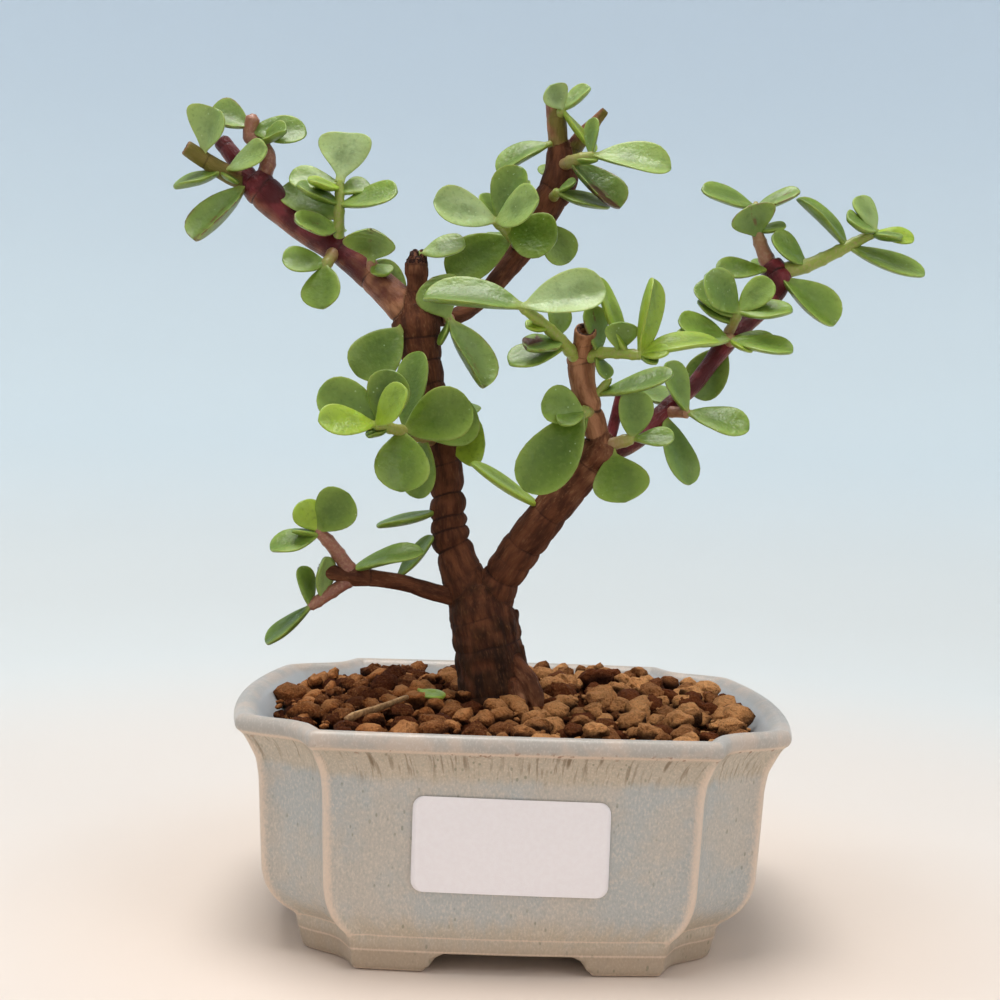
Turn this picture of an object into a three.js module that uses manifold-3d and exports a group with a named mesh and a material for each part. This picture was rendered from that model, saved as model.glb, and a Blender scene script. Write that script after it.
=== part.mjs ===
// Dwarf jade bonsai (Portulacaria afra) in a glazed pot, in millimetres, +Z up.
// The pot's centre is the modelling origin; the finished group is set on its own box centre at the end.
// X runs along the pot's front, -Y is the front, and the pot's feet stand on Z = 0.
import * as THREE from 'three';
import { mergeVertices } from 'three/addons/utils/BufferGeometryUtils.js';
import Module from 'manifold-3d';

const wasm = await Module();
wasm.setup();

// ---------- driving dimensions ----------
const SEAT_GAP = 0.3; // clearance between pieces that touch
const RIM = { panelHalf: 42.5, cornerX: 59.8, cornerY: 33.8, endBow: 4.3, frontBow: 1.2 };
const RIM_TOP = 52;
const FOOT_HEIGHT = 4.6;
const FOOT_GAP = 0.1; // the pot and its feet are one fired piece, kept as solids of their own
const FLOOR_TOP = 9.4;
const DRAIN = { x: 23, radius: 4.5, screenHalf: 8, screenThick: 1.2 };
const SOIL_TOP = 50.6; // bed's level beside the trunk
const GRAIN_PITCH = 8.7; // one clay grain every so far
const GRAIN_RISE = 1.7;
const LABEL = { x: -0.3, z: 28.1, width: 41.2, height: 20.2, thick: 0.6, tilt: -0.6 };
const WOOD_SIDES = 8;
const SHOOT_SIDES = 5;
const RING_SWELL = 0.05; // growth rings' bulge, as a share of the radius
const LEAF = { rim: 0.35, middle: 0.8, root: 0.65, sink: 0.8 }; // half thicknesses, and the root's depth

// ---------- materials ----------
const finish = (color, roughness) => new THREE.MeshStandardMaterial({ color, roughness, metalness: 0 });
const GLAZE = finish(0xa9ab9c, 0.35);
const CLAY = finish(0x9a6236, 0.95);
const BARK = finish(0x5a3a30, 0.8);
const JADE = finish(0x5f8a3c, 0.45);
const PALE_JADE = finish(0x86ab62, 0.45);
const PAPER = finish(0xf0efea, 0.8);
const PLASTIC = finish(0x2c2f2e, 0.6);
const STRAW = finish(0xcdb98a, 0.8);

// ---------- shared helpers ----------
const vec = (x, y, z) => new THREE.Vector3(x, y, z);
const rad = THREE.MathUtils.degToRad;
const lerp = THREE.MathUtils.lerp;

/** Repeatable random numbers from 0 to 1. */
function seeded(seed) {
  let state = seed;
  return () => {
    state = (state * 1664525 + 1013904223) % 4294967296;
    return state / 4294967296;
  };
}

/** Closed skin over rings of equal point count, with a fan over each end. */
function loft(rings, hub = false) {
  const count = rings[0].length;
  const points = rings.flat();
  const index = [];
  for (let r = 0; r + 1 < rings.length; r += 1) {
    for (let i = 0; i < count; i += 1) {
      const a = r * count + i;
      const b = r * count + ((i + 1) % count);
      index.push(a, b, b + count, a, b + count, a + count);
    }
  }
  const cap = (start, flip) => {
    const add = (p, q, s) => index.push(...(flip ? [p, s, q] : [p, q, s]));
    if (hub) {
      const middle = vec(0, 0, 0);
      for (let i = 0; i < count; i += 1) middle.addScaledVector(points[start + i], 1 / count);
      points.push(middle);
      for (let i = 0; i < count; i += 1) add(points.length - 1, start + i, start + ((i + 1) % count));
    } else {
      for (let i = 1; i + 1 < count; i += 1) add(start, start + i, start + i + 1);
    }
  };
  cap(0, true);
  cap((rings.length - 1) * count, false);
  const geometry = new THREE.BufferGeometry().setFromPoints(points);
  geometry.setIndex(index);
  return geometry;
}

/** A closed geometry as a solid, turned so that its faces point out. */
function solid(geometry) {
  const bare = geometry.clone();
  for (const name of Object.keys(bare.attributes)) if (name !== 'position') bare.deleteAttribute(name);
  const merged = mergeVertices(bare, 1e-4);
  const vertProperties = new Float32Array(merged.attributes.position.array);
  const triVerts = new Uint32Array(merged.index.array);
  if (signedVolume(vertProperties, triVerts) < 0) triVerts.reverse();
  return new wasm.Manifold(new wasm.Mesh({ numProp: 3, vertProperties, triVerts }));
}

function signedVolume(at, corners) {
  let sum = 0;
  for (let i = 0; i < corners.length; i += 3) {
    const [a, b, c] = [0, 1, 2].map((k) => vec(...at.slice(3 * corners[i + k], 3 * corners[i + k] + 3)));
    sum += a.dot(b.cross(c));
  }
  return sum;
}

const join = (solids) => solids.reduce((whole, piece) => whole.add(piece));

/** The largest body of a solid: scraps that a cut leaves behind are dropped. */
function largest(whole) {
  const bodies = whole.decompose();
  return bodies.reduce((best, body) => (body.volume() > best.volume() ? body : best));
}

/** A solid as a named mesh. */
function piece(name, whole, material) {
  const { vertProperties, triVerts } = whole.getMesh();
  const geometry = new THREE.BufferGeometry();
  geometry.setAttribute('position', new THREE.BufferAttribute(new Float32Array(vertProperties), 3));
  geometry.setIndex(Array.from(triVerts));
  geometry.computeVertexNormals();
  const mesh = new THREE.Mesh(geometry, material);
  mesh.name = name;
  return mesh;
}

/** A tapering stem along waypoints [x, y, z, radius], with growth rings every `ringPitch`. */
function stemSolid(waypoints, { grow = 0, sides = WOOD_SIDES, ringPitch = 0, steps = 0 } = {}) {
  const path = new THREE.CatmullRomCurve3(waypoints.map(([x, y, z]) => vec(x, y, z)), false, 'centripetal');
  const length = path.getLength();
  const spans = steps || Math.max(waypoints.length - 1, Math.round((2 * length) / (ringPitch || 12)));
  const frames = path.computeFrenetFrames(spans, false);
  const rings = [];
  for (let i = 0; i <= spans; i += 1) {
    const u = i / spans;
    const t = path.getUtoTmapping(u) * (waypoints.length - 1);
    const from = Math.min(Math.floor(t), waypoints.length - 2);
    const base = lerp(waypoints[from][3], waypoints[from + 1][3], t - from);
    const swell = ringPitch && i > 0 && i < spans ? (i % 2 ? RING_SWELL : -RING_SWELL) : 0;
    const radius = base * (1 + swell) + grow;
    const centre = path.getPointAt(u);
    if (i === 0) centre.addScaledVector(frames.tangents[0], -grow);
    if (i === spans) centre.addScaledVector(frames.tangents[spans], grow);
    rings.push(ringAround(centre, frames.normals[i], frames.binormals[i], radius, sides));
  }
  return solid(loft(rings));
}

function ringAround(centre, across, up, radius, sides) {
  return Array.from({ length: sides }, (_, k) => {
    const turn = (2 * Math.PI * (k + 0.5)) / sides;
    return centre.clone().addScaledVector(across, radius * Math.cos(turn))
      .addScaledVector(up, radius * Math.sin(turn));
  });
}

// ---------- pot ----------
const STRAIGHT_CUT = [[0.1, 0.13], [0.27, 0.36], [0.5, 0.6], [0.76, 0.82], [1, 1]]; // shares along X and Y
const OGEE_CUT = [[0.06, 0.18], [0.17, 0.46], [0.36, 0.65], [0.72, 0.8], [1, 1]]; // steps back, then out
const OGEE_STRENGTH = [[0, 0.6], [8, 0.6], [16, 0.35], [40, 0.35], [49, 1], [80, 1]]; // by height

/** How far the cut corners' outline follows the stepped curve at height z. */
function ogeeStrength(z) {
  const next = Math.max(1, OGEE_STRENGTH.findIndex(([height]) => height > z));
  const [[low, from], [high, to]] = OGEE_STRENGTH.slice(next - 1, next + 1);
  return lerp(from, to, THREE.MathUtils.clamp((z - low) / (high - low), 0, 1));
}

/** The pot's outline at height z, anticlockwise from above: `inset` from the lip, `depth` from front to middle. */
function outline(z, inset, depth) {
  const panel = RIM.panelHalf - 0.65 * inset;
  const [cornerX, cornerY] = [RIM.cornerX - inset, RIM.cornerY - 0.25 * inset];
  const ogee = ogeeStrength(z);
  const quarter = []; // from the front's middle to the right end's middle
  for (const s of [0, 0.5, 1]) quarter.push([panel * s, -depth - RIM.frontBow * (1 - s * s)]);
  STRAIGHT_CUT.forEach(([across, back], k) => {
    const [x, y] = [lerp(across, OGEE_CUT[k][0], ogee), lerp(back, OGEE_CUT[k][1], ogee)];
    quarter.push([lerp(panel, cornerX, x), -lerp(depth, cornerY, y)]);
  });
  for (const s of [0.5, 0]) quarter.push([cornerX + RIM.endBow * (1 - s * s), -cornerY * s]);
  const right = [...quarter, ...quarter.slice(0, -1).reverse().map(([x, y]) => [x, -y])];
  const left = right.slice(1, -1).reverse().map(([x, y]) => [-x, y]);
  return [...right, ...left].map(([x, y]) => vec(x, y, z));
}

const OUTER_WALL = [ // [height, inset from the lip at the ends, half depth at the front's sides]
  [FOOT_HEIGHT, 14.2, 42.4], [7.8, 13.9, 42.4], [10, 11, 43], [13.2, 8.2, 43.4],
  [18, 6.5, 43.6], [38.5, 5.4, 44.1], [42.4, 4.7, 44.7], [45.6, 2.9, 46.1], [48, 0.5, 48.3], [49, -0.5, 49],
  [50.7, -0.5, 49], [51.6, 0.2, 48.6], [RIM_TOP, 1.5, 47.6],
];
const INNER_WALL = [
  [RIM_TOP - 0.1, 3, 46.5], [RIM_TOP - 0.8, 4.2, 45.8], [48.8, 6, 44.6], [45, 9.2, 42.4], [13, 13, 40.8],
  [FLOOR_TOP, 15.5, 39.6],
];

function potSolid() {
  const shell = solid(loft([...OUTER_WALL, ...INNER_WALL].map((row) => outline(...row)), true));
  return shell.subtract(join([-1, 1].map((side) => drainHole(side))));
}

/** The four corner feet: a ring under the band, cut away along the front, back and ends. */
function cornerFeet() {
  const top = FOOT_HEIGHT - FOOT_GAP;
  const ring = solid(loft([outline(0, 15.6, 41.4), outline(0.8, 15, 41.8), outline(top, 14.5, 42.2)], true));
  const core = solid(loft([outline(-1, 27, 34), outline(FOOT_HEIGHT, 25, 35)], true));
  const arch = (half, rise, reach, turn) => {
    const shape = new THREE.Shape([
      new THREE.Vector2(-half - rise / 2, -1), new THREE.Vector2(half + rise / 2, -1),
      new THREE.Vector2(half - rise / 2, FOOT_HEIGHT), new THREE.Vector2(-half + rise / 2, FOOT_HEIGHT),
    ]);
    const prism = new THREE.ExtrudeGeometry(shape, { depth: 2 * reach, bevelEnabled: false });
    return solid(prism.translate(0, 0, -reach).rotateX(Math.PI / 2).rotateZ(turn));
  };
  const feet = ring.subtract(core).subtract(arch(16.2, 4.4, 60, 0)).subtract(arch(13, 4.4, 80, Math.PI / 2));
  return feet.decompose().map((foot) => {
    const { min, max } = foot.boundingBox();
    const [end, side] = [min[0] + max[0] < 0 ? 'left' : 'right', min[1] + max[1] < 0 ? 'front' : 'back'];
    return [`pot_foot_${side}_${end}`, foot];
  });
}

function drainHole(side) {
  const hole = new THREE.CylinderGeometry(DRAIN.radius, DRAIN.radius, 20, 16);
  return solid(hole.rotateX(Math.PI / 2).translate(side * DRAIN.x, 0, FLOOR_TOP - 2));
}

/** Plastic mesh square over a drain hole, on the pot's floor. */
function drainScreen(side, grow = 0) {
  const { screenHalf: half, screenThick: thick, x } = DRAIN;
  const size = 2 * (half + grow);
  const bottom = FLOOR_TOP + SEAT_GAP - grow;
  const height = thick + 2 * grow;
  const plate = solid(new THREE.BoxGeometry(size, size, height)
    .translate(side * x, 0, bottom + height / 2));
  if (grow) return plate;
  const windows = [];
  for (const i of [-0.5, 0.5]) {
    for (const j of [-0.5, 0.5]) {
      const window = new THREE.BoxGeometry(5.6, 5.6, 8);
      windows.push(solid(window.translate(side * x + 7 * i, 7 * j, FLOOR_TOP)));
    }
  }
  return plate.subtract(join(windows));
}

/** Blank paper sticker that follows the front wall's bow and batter. */
function labelSolid() {
  const columns = 8;
  const [low, high] = OUTER_WALL.slice(4, 6);
  const front = (x, z) => {
    const share = (z - low[0]) / (high[0] - low[0]);
    const panel = RIM.panelHalf - 0.65 * lerp(low[1], high[1], share);
    return -lerp(low[2], high[2], share) - RIM.frontBow * (1 - (x / panel) ** 2);
  };
  const rings = [];
  for (let i = 0; i <= columns; i += 1) {
    const x = LABEL.x + LABEL.width * (i / columns - 0.5);
    const drop = (x - LABEL.x) * Math.tan(rad(LABEL.tilt));
    const bottom = LABEL.z - LABEL.height / 2 + drop;
    const top = bottom + LABEL.height;
    const [back, face] = [SEAT_GAP, SEAT_GAP + LABEL.thick];
    rings.push([vec(x, front(x, bottom) - face, bottom), vec(x, front(x, bottom) - back, bottom),
      vec(x, front(x, top) - back, top), vec(x, front(x, top) - face, top)]);
  }
  return solid(loft(rings));
}

// ---------- soil ----------
/** The bed's height: a low mound round the trunk and along the back. */
function bedHeight(x, y) {
  const mound = 1.6 * Math.exp(-(((x + 5) / 26) ** 2) - ((y - 4) / 22) ** 2);
  return SOIL_TOP - 1.3 + mound + 0.022 * y;
}

/** Clay grains: a triangular lattice whose every third point is a grain's crown and the rest its gaps. */
function soilSolid(roots) {
  const random = seeded(11);
  const pitch = GRAIN_PITCH / Math.sqrt(3);
  const [columns, rows] = [Math.ceil(124 / pitch), Math.ceil(96 / (pitch * Math.sqrt(0.75)))];
  const top = [];
  const floor = FLOOR_TOP + SEAT_GAP;
  for (let j = 0; j <= rows; j += 1) {
    for (let i = 0; i <= columns; i += 1) {
      const crown = (i + 2 * Math.floor(j / 2) + 2 * j) % 3 === 0;
      const jitter = crown ? 0.9 : 0.35;
      const x = -62 + pitch * (i + (j % 2) / 2) + jitter * (random() - 0.5);
      const y = -48 + pitch * Math.sqrt(0.75) * j + jitter * (random() - 0.5);
      const rise = crown ? GRAIN_RISE * (0.5 + 0.7 * random()) : -0.6 * random();
      top.push(vec(x, y, bedHeight(x, y) + rise));
    }
  }
  const bed = solid(heightField(top, columns + 1, floor - 4));
  const [edge, ...walls] = INNER_WALL.slice(2);
  const cavity = [[RIM_TOP + 8, edge[1], edge[2]], edge, ...walls.slice(0, -1), [floor, ...walls.at(-1).slice(1)]]
    .map(([z, inset, depth]) => outline(z, inset + 2 * SEAT_GAP, depth - SEAT_GAP));
  return bed.intersect(solid(loft(cavity.reverse(), true))).subtract(roots);
}

/** A block whose top follows a grid of points and whose bottom is flat. */
function heightField(top, across, floor) {
  const count = top.length;
  const points = [...top, ...top.map((p) => vec(p.x, p.y, floor))];
  const index = [];
  const down = top.length / across;
  for (let j = 0; j + 1 < down; j += 1) {
    for (let i = 0; i + 1 < across; i += 1) {
      const a = j * across + i;
      const corners = j % 2
        ? [[a, a + 1, a + across + 1], [a, a + across + 1, a + across]]
        : [[a, a + 1, a + across], [a + 1, a + across + 1, a + across]];
      for (const [p, q, r] of corners) index.push(p, q, r, p + count, r + count, q + count);
    }
  }
  const rim = [];
  for (let i = 0; i + 1 < across; i += 1) rim.push(i);
  for (let j = 0; j + 1 < down; j += 1) rim.push(j * across + across - 1);
  for (let i = across - 1; i > 0; i -= 1) rim.push((down - 1) * across + i);
  for (let j = down - 1; j > 0; j -= 1) rim.push(j * across);
  rim.forEach((p, k) => {
    const q = rim[(k + 1) % rim.length];
    index.push(p, p + count, q, q, p + count, q + count);
  });
  const geometry = new THREE.BufferGeometry().setFromPoints(points);
  geometry.setIndex(index);
  return geometry;
}

// ---------- wood ----------
const RING_PITCH = 9;
const THIN = 3; // limbs that start thinner than this have fewer sides
const WOOD = { // waypoints [x, y, z, radius] of each limb
  base: [[-3.6, 0, 42, 8.6], [-4.4, 0, 51, 8.1], [-5.6, 0, 58, 7.4], [-6.8, 0, 65, 7.4], [-8.2, 0, 73, 7.2],
    [-9, 0, 78, 5.4]],
  leftTrunk: [[-8.6, 0, 70, 5.4], [-11.2, 0, 77, 5.2], [-14.1, 0, 84, 4.4], [-16, 0, 90.4, 4.6],
    [-16.7, 0, 97, 4.1], [-17.4, 0, 105.5, 3.6], [-19.2, 0, 115, 3.5], [-21.8, 0, 123.5, 3.7],
    [-24.2, 0, 133, 4.5], [-25.6, 0, 140, 5.6], [-26.4, 0, 144, 4.4]],
  leftBranch: [[-25.6, 0, 139, 4.6], [-29.2, 0, 144.3, 3.8], [-34.9, 3, 149.7, 3.4], [-43.8, 6, 157.1, 3.2],
    [-52.4, 9, 162.4, 3.3], [-59.4, 11, 167.6, 3.5], [-65.4, 12, 173, 4.2], [-67.8, 12, 175.2, 3.4]],
  tipStub: [[-67.6, 12.2, 173.6, 2.6], [-72, 14, 180, 2.1], [-76.4, 16, 185.4, 2]],
  tipTwig: [[-66.5, 12, 173.2, 2.4], [-70, 11.6, 174.8, 2.1], [-75.7, 10, 177.3, 1.8], [-83, 7, 181.4, 1.5]],
  tornStub: [[-25.3, 0, 140, 2.6], [-25.6, -0.5, 147, 2.1], [-25.9, -1, 154, 2.5], [-26.1, -1, 157.8, 3]],
  middleBranch: [[-25, 0, 140.5, 3], [-22, 1.5, 141.8, 2.1], [-16.6, 5, 142.8, 1.9], [-11.1, 9, 147, 2],
    [-5.2, 12, 154.5, 2.4], [-0.6, 14, 161.4, 3], [5.1, 16, 172.1, 3.8], [8.5, 17, 179.5, 4.2],
    [8.5, 17.5, 186, 3.4]],
  topCutStub: [[8.4, 17.2, 182, 2.8], [7.6, 16.8, 189, 2.3], [6.5, 16, 198.3, 2.3]],
  topDryStub: [[9, 17.2, 182, 2.6], [12.4, 17.4, 188.5, 2], [16, 17, 193, 1.9], [19.2, 16, 196.8, 1.5]],
  rightTrunk: [[-8, 0, 70, 5], [-5.3, -0.5, 75, 5], [-3.2, -2, 80.3, 4.4], [0.4, -4, 86.4, 4.5],
    [4.8, -7, 93, 4.3], [8.7, -10, 98.5, 4.1], [13.8, -13, 105.7, 4], [17.4, -15, 110.5, 4.5],
    [18.2, -15.4, 113, 3.4]],
  uprightBranch: [[17.6, -15, 110, 3.2], [16.6, -16, 115.9, 2.7], [14.9, -18, 120.8, 2.9],
    [13.3, -19, 125.9, 2.6], [12.6, -20, 131.4, 3.1], [12.6, -20.6, 133.4, 2.6]],
  cutStub: [[12.6, -20, 131, 2.3], [12.5, -22, 134.6, 2], [12.5, -24, 138, 2]],
  crimsonTwig: [[18.6, -14.6, 111, 1.6], [20.6, -12.6, 115, 1.3], [22.9, -10, 125, 1.1]],
  rightBranch: [[17.8, -15, 110.6, 2.8], [21.6, -13.4, 111.4, 2.2], [27.8, -11, 114.8, 1.9],
    [33.4, -9, 121.3, 1.9], [39.9, -7, 127, 1.8], [44.3, -5, 132.7, 1.8], [48.6, -3, 138.4, 2.3],
    [53, -1, 142.6, 2], [56.7, 0, 145.9, 1.8], [60.1, 2, 149.6, 2], [61.4, 3, 154.6, 3],
    [59.6, 4, 158, 2.6]],
  lowLeftTwig: [[-9, 0, 73.5, 2.6], [-15, -1.6, 75.2, 2], [-20.2, -4, 76.6, 1.9], [-26.1, -6, 78.5, 1.8],
    [-32.3, -8, 79.5, 1.8], [-38.2, -10, 80.3, 2.3], [-41, -10.8, 80.7, 1.7], [-45.5, -12, 81.4, 1.6]],
};
const ROOTS = [ // waypoints [x, y, z, radius] from the base into the bed
  [[-2.8, -2, 68, 1.5], [-0.4, -2.4, 64, 2], [1.6, -2.6, 58, 2.4], [3.2, -2.8, 52, 2.4], [6, -4, 44, 1.8]],
  [[-6, 1, 48, 4], [-13, 3, 44, 3.2], [-30, 8, 36, 1.5]],
  [[-5, -2, 47, 4], [-7, -10, 42, 2.8], [-16, -24, 32, 1.4]],
  [[-3, 0, 44, 5], [6, 2, 37, 3.2], [28, 0, 26, 1.4]],
];

/** All the wood, grown by `grow` all round for seats and holes. */
function woodSolid(grow = 0) {
  const limbs = Object.values(WOOD).map((limb) => stemSolid(limb, {
    grow, ringPitch: RING_PITCH, sides: limb[0][3] < THIN ? 6 : WOOD_SIDES,
  }));
  const roots = ROOTS.map((root) => stemSolid(root, { grow, sides: 6 }));
  return join([...limbs, ...roots]);
}

// ---------- leaves ----------
const BLADE = [[0.02, 0.13], [0.36, 0.74], [0.72, 1], [0.98, 0.42]]; // [share of length, share of width]

/**
 * One thick obovate leaf. heading turns it in the upright plane (0 = +X, 90 = up), lean tips it to the
 * front, roll turns its face from the front to the top; cup lifts its edges and curl bends it towards its face.
 */
function leafSolid(root, [heading, lean, length, width, roll = 0, cup = 1, curl = 0.08]) {
  const along = vec(Math.cos(rad(heading)) * Math.cos(rad(lean)), -Math.sin(rad(lean)),
    Math.sin(rad(heading)) * Math.cos(rad(lean)));
  const front = vec(0, -1, 0).addScaledVector(along, along.y).normalize();
  const upper = vec(0, 0, 0).crossVectors(along, front);
  if (upper.z < -0.05) upper.negate();
  const face = front.multiplyScalar(Math.cos(rad(roll))).addScaledVector(upper, Math.sin(rad(roll)));
  const side = vec(0, 0, 0).crossVectors(along, face);
  const { rim, middle } = LEAF;
  const rings = BLADE.map(([t, share]) => {
    const half = (share * width) / 2;
    const bend = curl * length * t * t;
    const lift = cup * share;
    const centre = root.clone().addScaledVector(along, t * length).addScaledVector(face, bend);
    const at = (across, high) => centre.clone().addScaledVector(side, across).addScaledVector(face, high);
    const core = t < 0.2 ? LEAF.root : middle;
    return [at(-half, lift - rim), at(0, -core), at(half, lift - rim), at(half, lift + rim), at(0, core),
      at(-half, lift + rim)];
  });
  return solid(loft(rings));
}

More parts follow.
